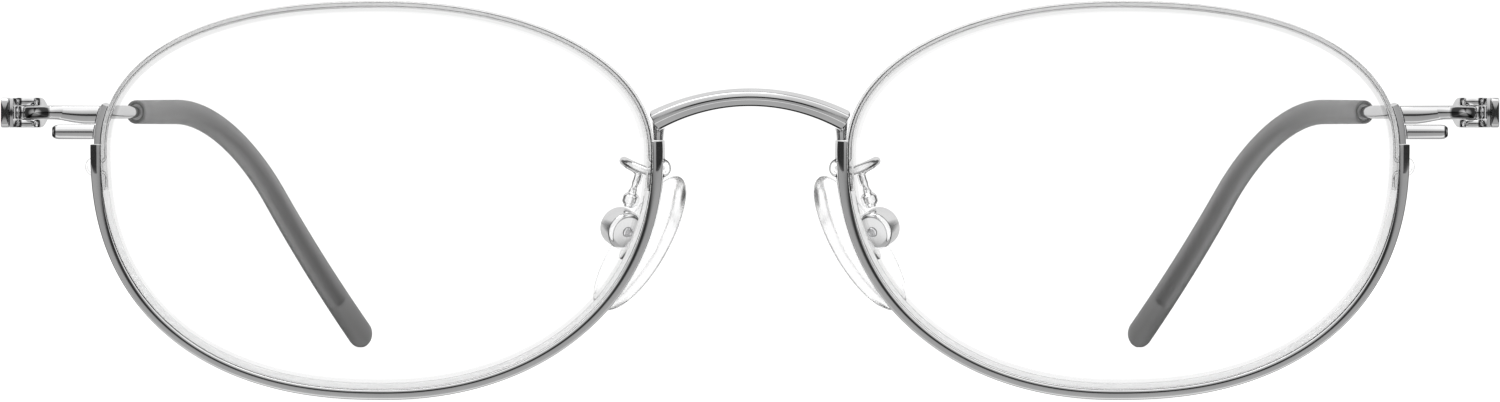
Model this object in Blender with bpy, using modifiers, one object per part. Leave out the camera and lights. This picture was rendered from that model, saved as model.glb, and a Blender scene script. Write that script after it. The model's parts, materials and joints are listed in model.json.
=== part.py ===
"""Oval half-rim eyeglasses: wire rims under the lenses, nylon cords over them, folding temples.

+Z is up, the lenses face -Y and the temples run towards +Y. X = 0 is the plane of symmetry and
"left" is the wearer's left, at +X. Every left piece is modelled, then mirrored to the right.
The origin is on the table, under the middle of the glasses.
"""

import math

import bmesh
import bpy
from mathutils import Matrix, Vector

OBJECT_NAME = "round_wire_eyeglasses"

# Lenses: the outline is four quarter superellipses that meet at its widest level.
# Heights that end in ABOVE_MIDDLE are measured up from the middle of the lenses.
LENS_NASAL_HALF = 0.0254
LENS_TEMPORAL_HALF = 0.0263
LENS_UPPER_HEIGHT = 0.0140
LENS_LOWER_HEIGHT = 0.0219
UPPER_TEMPORAL_POWER = 2.29
UPPER_NASAL_POWER = 2.12
LOWER_TEMPORAL_POWER = 2.33
LOWER_NASAL_POWER = 2.16
LENS_THICKNESS = 0.0020
LENS_CURVE_RADIUS = 0.130
LENS_WRAP = math.radians(6.0)
LENS_TILT = math.radians(4.0)
NOSE_GAP = 0.0179

# Rims and the cords that hold the lenses in them.
RIM_WIDTH = 0.00095
RIM_DEPTH = 0.0019
RIM_CORNER = 0.00022
RIM_CHANNEL_DEPTH = 0.00025
RIM_NASAL_END = 0.0049
RIM_TEMPORAL_END = 0.0046
LINER_WIDTH = 0.00056
CORD_DIAMETER = 0.0006
CORD_PROUD = 0.00005
CORD_HOLE_PITCH = 0.0012
CORD_HOLE_BELOW_NASAL_END = 0.0018
CORD_HOLE_BELOW_TEMPORAL_END = 0.00145
CORD_TAIL = 0.0010
CORD_BEND = CORD_DIAMETER * 0.55

# Bridge and the feet under it.
BRIDGE_HALF_SPAN = 0.00880
BRIDGE_TOP_ABOVE_MIDDLE = 0.010072
BRIDGE_RISE = 0.00202
BRIDGE_HEIGHT = 0.00165
BRIDGE_DEPTH = 0.0022
BRIDGE_BULGE = 0.0008
FOOT_LOWER_RADIUS = 0.00046
FOOT_UPPER_RADIUS = 0.00085

# End pieces, between each rim and its hinge.
LUG_WIDTH = 0.0006
LUG_TOP = 0.0082
END_BAR_HEIGHT = 0.00165
END_BAR_THICKNESS = 0.0013
END_BAR_LENGTH = 0.0054
TRIM_HEIGHT = 0.00135
TRIM_THICKNESS = 0.0012
TRIM_LENGTH = 0.0052

# Hinges: an upper and a lower knuckle on the temple, a middle one on the end piece.
HINGE_HALF_SPREAD = 0.0678
HINGE_SETBACK = 0.0100
HINGE_ABOVE_MIDDLE = 0.007832
HINGE_HEIGHT = 0.0028
MIDDLE_KNUCKLE_HEIGHT = 0.0012
KNUCKLE_RADIUS = 0.00125
HINGE_SCREW_RADIUS = 0.00055
HINGE_SCREW_HEAD_RADIUS = 0.00082
HINGE_SCREW_HEAD_HEIGHT = 0.00036

# Temples.
TEMPLE_TOE_IN = math.radians(3.3)
BUTT_OFFSET = 0.00170
BUTT_THICKNESS = 0.0008
BUTT_LENGTH = 0.0190
BUTT_LEAD = 0.0010
BUTT_TAPER = 0.0012
LEAF_LENGTH = 0.0045
LEAF_THICKNESS = 0.00035
WIRE_WIDTH = 0.0011
WIRE_HEIGHT = 0.0014
CORE_DIAMETER = 0.0011
CORE_TAPER = 0.0040
SWEEP_START = 0.0566
SWEEP_RADIUS = 0.123
EAR_BEND_START = 0.0853
EAR_BEND_RADIUS = 0.0323
EAR_BEND_ANGLE = math.radians(45.0)
STRAIGHT_STEP = 0.0100
BENT_STEP = 0.0045

# Sleeves over the temple ends.
SLEEVE_START = 0.0720
SLEEVE_WIDTH_MOUTH = 0.0021
SLEEVE_HEIGHT_MOUTH = 0.0025
SLEEVE_WIDTH_TIP = 0.0025
SLEEVE_HEIGHT_TIP = 0.0031
SLEEVE_LIP_WIDTH = 0.00025
SLEEVE_LIP_ROUND = 0.0006
SLEEVE_MOUTH_LENGTH = 0.0015
SLEEVE_SOLID_TIP = 0.0070

# Nose pads on their arms.
PAD_LENGTH = 0.0145
PAD_WIDTH = 0.0078
PAD_DROP = 0.00035
PAD_THICKNESS = 0.0021
PAD_LEAN = math.radians(32.0)
PAD_SPLAY = math.radians(30.0)
PAD_BOX_RADIUS = 0.00185
PAD_BOX_WIDTH = 0.0026
PAD_BOX_CORNER = 0.00045
PAD_BOX_MOUTH = 0.0012
PAD_STEM_ROOM = 0.0003
PAD_SLOT_WIDTH = 0.00115
PAD_SCREW_RADIUS = 0.00040
PAD_SCREW_HEAD_RADIUS = 0.00070
PAD_SCREW_HEAD_HEIGHT = 0.00042
PAD_SCREW_NUB = 0.00024
PAD_STEM_RADIUS = 0.00098
PAD_PLATE_LENGTH = 0.0050
PAD_PLATE_WIDTH = 0.0028
PAD_PLATE_THICKNESS = 0.00035
PAD_ARM_DIAMETER = 0.00080
PAD_ARM_ROUTE = (
    (0.0013, 0.0000, 0.0001),
    (0.0021, 0.0010, 0.0004),
    (0.0029, 0.0025, 0.0010),
    (0.0041, 0.0034, 0.0014),
    (0.0054, 0.0031, 0.0011),
    (0.0062, 0.0021, 0.0003),
)
PAD_ARM_NECK = 0.0018
PAD_ARM_COLLAR = 0.0007
PAD_ARM_COLLAR_SIZES = (0.8, 1.15, 1.75, 1.7, 1.1)
PAD_BOX_SPREAD = 0.01197
PAD_BOX_SETBACK = 0.0077
PAD_BOX_ABOVE_MIDDLE = -0.002969
PAD_ARM_ABOVE_MIDDLE = 0.001682

# Clearances.
FIT_GAP = 0.00006
REST_GAP = 0.00008
HINGE_GAP = 0.00006
CUTTER_EXTRA = 0.0020

# The groove round each lens follows the cord that it holds.
GROOVE_WIDTH = CORD_DIAMETER + 2 * FIT_GAP
GROOVE_DEPTH = CORD_DIAMETER - CORD_PROUD

FRONT_PLANE = Matrix.Rotation(math.radians(90.0), 4, "X")


def clear_scene():
    for item in list(bpy.data.objects):
        bpy.data.objects.remove(item)


def new_collection(name):
    collection = bpy.data.collections.new(name)
    bpy.context.scene.collection.children.link(collection)
    return collection


def metal_material(name, color, roughness):
    material = bpy.data.materials.new(name)
    material.use_nodes = True
    shader = material.node_tree.nodes["Principled BSDF"]
    shader.inputs["Base Color"].default_value = (*color, 1.0)
    shader.inputs["Metallic"].default_value = 1.0
    shader.inputs["Roughness"].default_value = roughness
    return material


def clear_material(name, color, roughness, index):
    material = bpy.data.materials.new(name)
    material.use_nodes = True
    shader = material.node_tree.nodes["Principled BSDF"]
    shader.inputs["Base Color"].default_value = (*color, 1.0)
    shader.inputs["Transmission Weight"].default_value = 1.0
    shader.inputs["Roughness"].default_value = roughness
    shader.inputs["IOR"].default_value = index
    return material


def sleeve_material():
    material = bpy.data.materials.new("smoke_grey_acetate")
    material.use_nodes = True
    shader = material.node_tree.nodes["Principled BSDF"]
    shader.inputs["Base Color"].default_value = (0.22, 0.22, 0.22, 1.0)
    shader.inputs["Roughness"].default_value = 0.35
    return material


def signed_power(value, power):
    return math.copysign(abs(value) ** power, value)


def box_centre_shift():
    """Where the outline's widest point lies, measured from the middle of the lens's box."""
    across = (LENS_NASAL_HALF - LENS_TEMPORAL_HALF) / 2
    up = (LENS_LOWER_HEIGHT - LENS_UPPER_HEIGHT) / 2
    return across, up


def lens_half_width():
    return (LENS_NASAL_HALF + LENS_TEMPORAL_HALF) / 2


def lens_half_height():
    return (LENS_LOWER_HEIGHT + LENS_UPPER_HEIGHT) / 2


def height_and_power(upper, nasal):
    if upper:
        return LENS_UPPER_HEIGHT, UPPER_NASAL_POWER if nasal else UPPER_TEMPORAL_POWER
    return LENS_LOWER_HEIGHT, LOWER_NASAL_POWER if nasal else LOWER_TEMPORAL_POWER


def quarter(cosine, sine):
    """Half width, height and power of the quarter that an angle falls in."""
    half_width = LENS_TEMPORAL_HALF if cosine >= 0 else LENS_NASAL_HALF
    height, power = height_and_power(sine >= 0, cosine < 0)
    return half_width, height, power


def outline_point(angle):
    """A point (across, up) on the lens outline, and the direction square to the edge there."""
    cosine = math.cos(angle)
    sine = math.sin(angle)
    half_width, height, power = quarter(cosine, sine)
    from_widest = Vector((
        half_width * signed_power(cosine, 2 / power),
        height * signed_power(sine, 2 / power),
    ))
    normal = Vector((
        signed_power(from_widest.x / half_width, power - 1) / half_width,
        signed_power(from_widest.y / height, power - 1) / height,
    )).normalized()
    return Vector(box_centre_shift()) + from_widest, normal


def angle_at_level(up, nasal):
    """Angle of the outline point at a height above the lens's middle, on one side."""
    up_shift = box_centre_shift()[1]
    height, power = height_and_power(up >= up_shift, nasal)
    sine = signed_power((up - up_shift) / height, power / 2)
    angle = math.asin(sine)
    return math.pi - angle if nasal else angle


def even_run(points, count):
    """Points spaced evenly along a polyline, with both its ends."""
    lengths = [0.0]
    for start, end in zip(points, points[1:]):
        lengths.append(lengths[-1] + (end - start).length)
    spread = []
    index = 0
    for step in range(count):
        target = lengths[-1] * step / (count - 1)
        while index < len(points) - 2 and lengths[index + 1] < target:
            index += 1
        span = lengths[index + 1] - lengths[index]
        spread.append(points[index].lerp(points[index + 1], (target - lengths[index]) / span))
    return spread


def smooth_run(anchors, count):
    """Evenly spaced points on a smooth curve through the anchor points."""
    padded = [2 * anchors[0] - anchors[1], *anchors, 2 * anchors[-1] - anchors[-2]]
    dense = []
    for first, start, end, last in zip(padded, padded[1:], padded[2:], padded[3:]):
        for step in range(12):
            t = step / 12
            dense.append(0.5 * (
                2 * start
                + (end - first) * t
                + (2 * first - 5 * start + 4 * end - last) * t ** 2
                + (3 * start - first - 3 * end + last) * t ** 3
            ))
    dense.append(anchors[-1])
    return even_run(dense, count)


def lens_depth(across, up):
    """How far the lens's front falls back from its middle."""
    return (across ** 2 + up ** 2) / (2 * LENS_CURVE_RADIUS)


def lens_centre():
    """Middle of the left lens's front: the rim's lowest point is then on the table."""
    half_width = lens_half_width()
    nasal_depth = lens_depth(half_width, 0.0) + LENS_THICKNESS / 2
    across = NOSE_GAP / 2 + half_width * math.cos(LENS_WRAP) + nasal_depth * math.sin(LENS_WRAP)
    rim_front = (LENS_THICKNESS - RIM_DEPTH) / 2 + RIM_CORNER
    lowest_depth = lens_depth(0.0, lens_half_height()) + rim_front
    reach = lens_half_height() + REST_GAP + RIM_WIDTH
    return Vector((across, 0.0, reach * math.cos(LENS_TILT) - lowest_depth * math.sin(LENS_TILT)))


def bridge_top():
    """Height of the bridge's top over the table, measured from the lenses' middle."""
    return lens_centre().z + BRIDGE_TOP_ABOVE_MIDDLE


def hinge_level():
    return lens_centre().z + HINGE_ABOVE_MIDDLE


def lens_turn():
    wrap = Matrix.Rotation(LENS_WRAP, 4, "Z")
    tilt = Matrix.Rotation(LENS_TILT, 4, "X")
    return Matrix.Translation(lens_centre()) @ wrap @ tilt


def edge_path_point(angle, outward, back=LENS_THICKNESS / 2):
    """A point by the lens's edge in the flat sweep frame (across, up, towards the front)."""
    flat, normal = outline_point(angle)
    depth = lens_depth(flat.x, flat.y) + back
    return Vector((flat.x + normal.x * outward, flat.y + normal.y * outward, -depth))


def edge_place(angle, outward, back=LENS_THICKNESS / 2):
    """World place of a point by the left lens's edge, back from its front surface."""
    return lens_turn() @ FRONT_PLANE @ edge_path_point(angle, outward, back)


def edge_path(start, end, outward, count):
    dense = [edge_path_point(start + (end - start) * step / 360, outward) for step in range(361)]
    return even_run(dense, count)


def link(name, data, collection):
    item = bpy.data.objects.new(name, data)
    collection.objects.link(item)
    return item


def weld(mesh):
    """Merge loose caps and turn all faces outward."""
    work = bmesh.new()
    work.from_mesh(mesh)
    bmesh.ops.remove_doubles(work, verts=work.verts, dist=0.000002)
    bmesh.ops.recalc_face_normals(work, faces=work.faces)
    work.to_mesh(mesh)
    work.free()


def settled(item, collection=None):
    """Replace an object by a plain mesh of what it evaluates to, with its place in the mesh."""
    bpy.context.view_layer.update()
    evaluated = item.evaluated_get(bpy.context.evaluated_depsgraph_get())
    mesh = bpy.data.meshes.new_from_object(evaluated)
    mesh.transform(item.matrix_world)
    weld(mesh)
    name = item.name
    home = collection or item.users_collection[0]
    bpy.data.objects.remove(item)
    mesh.name = name
    return link(name, mesh, home)


def polyline(name, points, collection, closed=False, flat=False):
    curve = bpy.data.curves.new(name, "CURVE")
    curve.dimensions = "2D" if flat else "3D"
    spline = curve.splines.new("POLY")
    spline.points.add(len(points) - 1)
    for slot, point in zip(spline.points, points):
        slot.co = (*Vector(point).to_3d(), 1.0)
    spline.use_cyclic_u = closed
    return link(name, curve, collection)


def swept(name, path, profile, collection, place=Matrix.Identity(4)):
    """A profile carried along a path: profile x to the path's right hand, y upward."""
    section = polyline(name + "_section", profile, collection, closed=True, flat=True)
    rail = polyline(name, path, collection)
    rail.data.twist_mode = "Z_UP"
    rail.data.bevel_mode = "OBJECT"
    rail.data.bevel_object = section
    rail.data.use_fill_caps = True
    rail.matrix_world = place
    solid = settled(rail)
    bpy.data.objects.remove(section)
    return solid


def wire(name, path, diameter, collection, sides_step=1, radii=None, place=Matrix.Identity(4)):
    """A round wire along a path, with an optional radius factor at each point."""
    rail = polyline(name, path, collection)
    rail.data.bevel_depth = diameter / 2
    rail.data.bevel_resolution = sides_step
    rail.data.use_fill_caps = True
    for slot, factor in zip(rail.data.splines[0].points, radii or []):
        slot.radius = factor
    rail.matrix_world = place
    return settled(rail)


def mesh_object(name, work, collection, place=Matrix.Identity(4)):
    mesh = bpy.data.meshes.new(name)
    work.to_mesh(mesh)
    work.free()
    mesh.transform(place)
    return link(name, mesh, collection)


def cylinder(name, radius, length, collection, place, sides=20, end_radius=None):
    """A closed cylinder or cone along local Z, centred at its place."""
    work = bmesh.new()
    bmesh.ops.create_cone(
        work, cap_ends=True, segments=sides, depth=length,
        radius1=radius, radius2=radius if end_radius is None else end_radius,
    )
    return mesh_object(name, work, collection, place)


def box(name, low, high, collection, place=Matrix.Identity(4)):
    low = Vector(low)
    high = Vector(high)
    size = high - low
    work = bmesh.new()
    bmesh.ops.create_cube(work, size=1.0)
    stretch = Matrix.Translation((low + high) / 2) @ Matrix.Diagonal((*size, 1.0))
    return mesh_object(name, work, collection, place @ stretch)


def boolean(target, tool, operation):
    """Apply one exact Boolean and keep the tool only where it's a cutter."""
    modifier = target.modifiers.new(tool.name, "BOOLEAN")
    modifier.operation = operation
    modifier.solver = "EXACT"
    modifier.object = tool
    result = settled(target)
    if operation == "UNION":
        bpy.data.objects.remove(tool)
    else:
        tool.hide_render = True
        tool.display_type = "WIRE"
    return result


def bevelled(item, width, segments=2, angle=math.radians(40.0)):
    modifier = item.modifiers.new("edges", "BEVEL")
    modifier.width = width
    modifier.segments = segments
    modifier.limit_method = "ANGLE"
    modifier.angle_limit = angle
    return settled(item)


def rectangle(width, height, corner=0.0, shift=0.0):
    """A profile centred at (shift, 0), with chamfered corners."""
    half_width = width / 2
    half_height = height / 2
    if not corner:
        corners = [(1, 1), (-1, 1), (-1, -1), (1, -1)]
        return [(shift + x * half_width, y * half_height) for x, y in corners]
    points = []
    for x, y in ((1, 1), (-1, 1), (-1, -1), (1, -1)):
        side = (shift + x * half_width, y * (half_height - corner))
        end = (shift + x * (half_width - corner), y * half_height)
        points += [side, end] if x * y > 0 else [end, side]
    return points


def loft(name, rings, collection):
    """A solid through rings of equal counts, closed by a fan over its first and last ring."""
    work = bmesh.new()
    rows = [[work.verts.new(point) for point in ring] for ring in rings]
    count = len(rows[0])
    for row, following in zip(rows, rows[1:]):
        for index in range(count):
            after = (index + 1) % count
            work.faces.new((row[index], row[after], following[after], following[index]))
    for row in (rows[0], rows[-1]):
        middle = work.verts.new(sum((vertex.co for vertex in row), Vector()) / count)
        for index in range(count):
            work.faces.new((row[index], row[(index + 1) % count], middle))
    bmesh.ops.recalc_face_normals(work, faces=work.faces)
    return mesh_object(name, work, collection)


def make_lens(parts):
    """A curved lens with a groove all round its edge."""
    count = 52
    dense = [outline_point(2 * math.pi * step / 720)[0] for step in range(721)]
    flats = even_run(dense, count + 1)[:-1]
    lip = (LENS_THICKNESS - GROOVE_WIDTH) / 2
    middle = Vector(box_centre_shift())
    tangents = [flats[(index + 1) % count] - flats[index - 1] for index in range(count)]
    normals = [Vector((tangent.y, -tangent.x)).normalized() for tangent in tangents]

    def ring(share, inward, back):
        points = []
        for flat, normal in zip(flats, normals):
            spot = middle + (flat - middle) * share
            depth = lens_depth(spot.x, spot.y) + back
            spot = spot - normal * inward
            points.append(lens_turn() @ Vector((spot.x, depth, spot.y)))
        return points

    rings = [ring(share, 0.0, 0.0) for share in (0.4, 0.75, 1.0)]
    rings.append(ring(1.0, 0.0, lip))
    rings.append(ring(1.0, GROOVE_DEPTH, lip))
    rings.append(ring(1.0, GROOVE_DEPTH, LENS_THICKNESS - lip))
    rings.append(ring(1.0, 0.0, LENS_THICKNESS - lip))
    rings += [ring(share, 0.0, LENS_THICKNESS) for share in (1.0, 0.75, 0.4)]
    return loft("left_lens", rings, parts)


def rim_angles():
    nasal_end = angle_at_level(RIM_NASAL_END, nasal=True) - 2 * math.pi
    temporal_end = angle_at_level(RIM_TEMPORAL_END, nasal=False)
    return nasal_end, temporal_end


def cord_hole_angles():
    """Angles of the upper and lower cord hole at the nasal and at the temporal rim end."""
    upper_nasal = RIM_NASAL_END - CORD_HOLE_BELOW_NASAL_END
    upper_temporal = RIM_TEMPORAL_END - CORD_HOLE_BELOW_TEMPORAL_END
    nasal = [angle_at_level(upper_nasal - drop, True) for drop in (0, CORD_HOLE_PITCH)]
    temporal = [angle_at_level(upper_temporal - drop, False) for drop in (0, CORD_HOLE_PITCH)]
    return nasal, temporal


def make_rim(parts, cutters):
    """A wire under the lens, channelled inside, with two cord holes at each end."""
    inner = REST_GAP
    outer = REST_GAP + RIM_WIDTH
    floor = REST_GAP + RIM_CHANNEL_DEPTH
    half_depth = RIM_DEPTH / 2
    half_channel = GROOVE_WIDTH / 2
    profile = [
        (inner, -half_depth),
        (outer - RIM_CORNER, -half_depth),
        (outer, -half_depth + RIM_CORNER),
        (outer, half_depth - RIM_CORNER),
        (outer - RIM_CORNER, half_depth),
        (inner, half_depth),
        (inner, half_channel),
        (floor, half_channel),
        (floor, -half_channel),
        (inner, -half_channel),
    ]
    start, end = rim_angles()
    path = edge_path(start, end, 0.0, 40)
    place = lens_turn() @ FRONT_PLANE
    rim = swept("left_rim", path, profile, parts, place)
    nasal, temporal = cord_hole_angles()
    radius = CORD_DIAMETER / 2 + FIT_GAP
    for number, angle in enumerate(nasal + temporal):
        normal = outline_point(angle)[1]
        centre = edge_place(angle, (inner + outer) / 2)
        direction = lens_turn().to_3x3() @ Vector((normal.x, 0.0, normal.y))
        turn = direction.to_track_quat("Z", "Y").to_matrix().to_4x4()
        hole = cylinder(
            f"cord_hole_{number + 1}", radius, RIM_WIDTH + CUTTER_EXTRA, cutters,
            Matrix.Translation(centre) @ turn, sides=10,
        )
        rim = boolean(rim, hole, "DIFFERENCE")
    return rim


def make_rim_liner(parts):
    """A strip that beds the lens's groove on the rim's channel, clear of the cord's tails."""
    floor = REST_GAP + RIM_CHANNEL_DEPTH - FIT_GAP
    bottom = -GROOVE_DEPTH + FIT_GAP
    profile = rectangle(floor - bottom, LINER_WIDTH, shift=(floor + bottom) / 2)
    tail_end = CORD_HOLE_PITCH + CORD_DIAMETER + CORD_TAIL
    nasal_level = RIM_NASAL_END - CORD_HOLE_BELOW_NASAL_END - tail_end
    temporal_level = RIM_TEMPORAL_END - CORD_HOLE_BELOW_TEMPORAL_END - tail_end
    start = angle_at_level(nasal_level, True) - 2 * math.pi
    end = angle_at_level(temporal_level, False)
    path = edge_path(start, end, 0.0, 36)
    return swept("left_rim_liner", path, profile, parts, lens_turn() @ FRONT_PLANE)


def cord_loop(upper_angle, lower_angle):
    """From the groove out through the upper hole, round, and back in to a short tail."""
    seat = -GROOVE_DEPTH + CORD_DIAMETER / 2 + FIT_GAP
    upper = edge_path_point(upper_angle, 0.0)
    lower = edge_path_point(lower_angle, 0.0)
    down = (lower - upper).normalized()
    normal = outline_point((upper_angle + lower_angle) / 2)[1]
    out = Vector((normal.x, normal.y, 0.0))
    corner = CORD_BEND
    loop_radius = (lower - upper).length / 2
    loop_reach = REST_GAP + RIM_WIDTH + CORD_DIAMETER * 0.65
    loop_centre = (upper + lower) / 2 + out * (loop_reach - loop_radius)
    points = []
    for turn in (0.0, 30.0, 60.0, 90.0):
        swing = math.radians(turn)
        along = -corner + corner * math.sin(swing)
        outward = seat + corner - corner * math.cos(swing)
        points.append(upper + down * along + out * outward)
    for turn in range(0, 181, 30):
        swing = math.radians(turn)
        reach = -down * loop_radius * math.cos(swing) + out * loop_radius * math.sin(swing)
        points.append(loop_centre + reach)
    for turn in (90.0, 60.0, 30.0, 0.0):
        swing = math.radians(turn)
        along = corner - corner * math.sin(swing)
        outward = seat + corner - corner * math.cos(swing)
        points.append(lower + down * along + out * outward)
    points.append(points[-1] + down * CORD_TAIL)
    return points


def make_cord(parts):
    """The nylon cord over the lens, looped through both rim ends."""
    nasal, temporal = cord_hole_angles()
    seat = -GROOVE_DEPTH + CORD_DIAMETER / 2 + FIT_GAP
    nasal_loop = cord_loop(*nasal)
    temporal_loop = cord_loop(*temporal)
    # The run over the lens starts and ends a little above the upper holes.
    approach = CORD_BEND + CORD_DIAMETER
    start = angle_at_level(RIM_TEMPORAL_END - CORD_HOLE_BELOW_TEMPORAL_END + approach, False)
    end = angle_at_level(RIM_NASAL_END - CORD_HOLE_BELOW_NASAL_END + approach, True)
    over = edge_path(start, end, seat, 46)
    path = temporal_loop[::-1] + over + nasal_loop
    place = lens_turn() @ FRONT_PLANE
    return wire("left_lens_cord", path, CORD_DIAMETER, parts, sides_step=1, place=place)


def bridge_path():
    """Centre line of the bridge in the flat sweep frame, arched up and bulged forward."""
    radius = (BRIDGE_HALF_SPAN ** 2 + BRIDGE_RISE ** 2) / (2 * BRIDGE_RISE)
    top = bridge_top() - BRIDGE_HEIGHT / 2
    end_depth = rim_end_place().y - (BRIDGE_DEPTH - RIM_DEPTH)
    reach = math.asin(BRIDGE_HALF_SPAN / radius)
    points = []
    for step in range(-8, 9):
        swing = reach * step / 8
        forward = BRIDGE_BULGE * (1 - (step / 8) ** 2) - end_depth
        level = top - radius * (1 - math.cos(swing))
        points.append(Vector((radius * math.sin(swing), level, forward)))
    return points


def bridge_profile(grow=0.0):
    """Flat back and a crowned front with a ridge, x down and y forward."""
    half_height = BRIDGE_HEIGHT / 2 + grow
    half_depth = BRIDGE_DEPTH / 2 + grow
    return [
        (half_height * 0.75, -half_depth),
        (half_height, -half_depth * 0.65),
        (half_height, half_depth * 0.15),
        (half_height * 0.65, half_depth * 0.75),
        (0.0, half_depth),
        (-half_height * 0.65, half_depth * 0.75),
        (-half_height, half_depth * 0.15),
        (-half_height, -half_depth * 0.65),
        (-half_height * 0.75, -half_depth),
    ]


def rim_end_place():
    """Middle of the rim's nasal end."""
    angle = angle_at_level(RIM_NASAL_END, True)
    return edge_place(angle, REST_GAP + RIM_WIDTH / 2)


def make_bridge(parts):
    return swept("bridge", bridge_path(), bridge_profile(), parts, FRONT_PLANE)


def cord_room(cutters):
    """The lens's edge above the rim's nasal end with the cord round it, grown by the clearance."""
    outer = CORD_PROUD + 2 * FIT_GAP
    width = outer + CUTTER_EXTRA
    profile = rectangle(width, RIM_DEPTH * 2, 0.0, outer - width / 2)
    start = angle_at_level(RIM_NASAL_END + BRIDGE_HEIGHT * 2, True)
    end = angle_at_level(RIM_NASAL_END, True)
    path = edge_path(start, end, 0.0, 12)
    return swept("cord_room", path, profile, cutters, lens_turn() @ FRONT_PLANE)


def make_bridge_foot(parts, cutters):
    """A flared foot between the rim's nasal end and the underside of the bridge."""
    end = rim_end_place()
    bottom = end.z + REST_GAP
    top = bridge_top() - BRIDGE_RISE
    height = top - bottom
    stretch = Matrix.Diagonal((1.0, RIM_DEPTH / (FOOT_UPPER_RADIUS + FOOT_LOWER_RADIUS), 1.0, 1.0))
    spot = Matrix.Translation((end.x, end.y, bottom + height / 2))
    foot = cylinder(
        "left_bridge_foot", FOOT_LOWER_RADIUS, height, parts, spot @ stretch,
        sides=12, end_radius=FOOT_UPPER_RADIUS,
    )
    room = swept("bridge_room", bridge_path(), bridge_profile(FIT_GAP), cutters, FRONT_PLANE)
    cap = box(
        "above_bridge",
        (end.x - CUTTER_EXTRA, end.y - CUTTER_EXTRA, top - BRIDGE_HEIGHT / 4),
        (end.x + CUTTER_EXTRA, end.y + CUTTER_EXTRA, top + CUTTER_EXTRA),
        cutters,
    )
    foot = boolean(foot, cap, "DIFFERENCE")
    foot = boolean(foot, room, "DIFFERENCE")
    return boolean(foot, cord_room(cutters), "DIFFERENCE")


def make_rim_lug(parts):
    """A plate that carries on up the lens's edge from the rim's temporal end."""
    profile = rectangle(LUG_WIDTH, RIM_DEPTH, RIM_CORNER / 2, REST_GAP + LUG_WIDTH / 2)
    start = angle_at_level(RIM_TEMPORAL_END + REST_GAP, False)
    end = angle_at_level(LUG_TOP, False)
    path = edge_path(start, end, 0.0, 7)
    return swept("left_rim_lug", path, profile, parts, lens_turn() @ FRONT_PLANE)


def lug_room(cutters):
    """The lug and the lens's edge, grown by the clearance."""
    width = LUG_WIDTH + REST_GAP + CUTTER_EXTRA
    shift = REST_GAP + LUG_WIDTH + FIT_GAP - width / 2
    profile = rectangle(width, RIM_DEPTH * 3, 0.0, shift)
    start = angle_at_level(RIM_TEMPORAL_END - CUTTER_EXTRA, False)
    end = angle_at_level(LUG_TOP + CUTTER_EXTRA, False)
    path = edge_path(start, end, 0.0, 9)
    return swept("lug_room", path, profile, cutters, lens_turn() @ FRONT_PLANE)


def end_bar_root():
    """Middle of the lens's edge beside the end bar."""
    return edge_place(angle_at_level(HINGE_ABOVE_MIDDLE, False), 0.0)


def hinge_place():
    return Vector((HINGE_HALF_SPREAD, HINGE_SETBACK, hinge_level()))


def end_bar_anchors():
    """Plan of the end piece, from inside the lug round to the hinge axis."""
    root = end_bar_root()
    hinge = hinge_place()
    return [
        Vector((root.x - LUG_WIDTH, root.y - END_BAR_THICKNESS / 2, 0.0)),
        Vector((root.x + END_BAR_LENGTH * 0.5, root.y - END_BAR_THICKNESS * 0.35, 0.0)),
        Vector((root.x + END_BAR_LENGTH, root.y + END_BAR_THICKNESS * 0.05, 0.0)),
        Vector((hinge.x - KNUCKLE_RADIUS * 0.35, hinge.y - KNUCKLE_RADIUS * 1.9, 0.0)),
        Vector((hinge.x, hinge.y - KNUCKLE_RADIUS * 0.6, 0.0)),
    ]


def end_bar_level():
    """Middle height of the end bar, whose top is level with the middle knuckle's."""
    return hinge_level() - (END_BAR_HEIGHT - MIDDLE_KNUCKLE_HEIGHT) / 2


def make_end_piece(parts, cutters, room):
    """A bar from the lug that narrows to a tongue and ends in the hinge's middle knuckle."""
    hinge = hinge_place()
    anchors = end_bar_anchors()
    at_level = Matrix.Translation((0.0, 0.0, end_bar_level()))
    bar_path = smooth_run(anchors[:3], 7)
    bar_profile = rectangle(END_BAR_THICKNESS, END_BAR_HEIGHT, END_BAR_THICKNESS / 4)
    piece = swept("left_end_piece", bar_path, bar_profile, parts, at_level)
    tongue_path = smooth_run(anchors[1:], 12)
    tongue_height = MIDDLE_KNUCKLE_HEIGHT * 0.95
    tongue_profile = rectangle(END_BAR_THICKNESS * 0.9, tongue_height, END_BAR_THICKNESS / 6)
    tongue_level = Matrix.Translation((0.0, 0.0, hinge_level()))
    tongue = swept("tongue", tongue_path, tongue_profile, parts, tongue_level)
    piece = boolean(piece, tongue, "UNION")
    knuckle = cylinder(
        "middle_knuckle", KNUCKLE_RADIUS, MIDDLE_KNUCKLE_HEIGHT, parts,
        Matrix.Translation(hinge), sides=24,
    )
    piece = boolean(piece, knuckle, "UNION")
    piece = boolean(piece, room, "DIFFERENCE")
    hole = cylinder(
        "middle_knuckle_hole", HINGE_SCREW_RADIUS + HINGE_GAP, HINGE_HEIGHT, cutters,
        Matrix.Translation(hinge), sides=16,
    )
    return boolean(piece, hole, "DIFFERENCE")


def make_end_trim(parts, room):
    """A shorter bar under the end piece, rounded off at its outer end."""
    level = end_bar_level() - END_BAR_HEIGHT / 2 - REST_GAP - TRIM_HEIGHT / 2
    anchors = end_bar_anchors()
    tip = anchors[1].lerp(anchors[2], (TRIM_LENGTH / END_BAR_LENGTH - 0.5) * 2)
    path = smooth_run([anchors[0] + Vector((LUG_WIDTH, 0.0, 0.0)), anchors[1], tip], 7)
    profile = rectangle(TRIM_THICKNESS, TRIM_HEIGHT, TRIM_THICKNESS / 3)
    place = Matrix.Translation((0.0, 0.0, level))
    trim = swept("left_end_trim", path, profile, parts, place)
    return boolean(trim, room, "DIFFERENCE")


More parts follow.
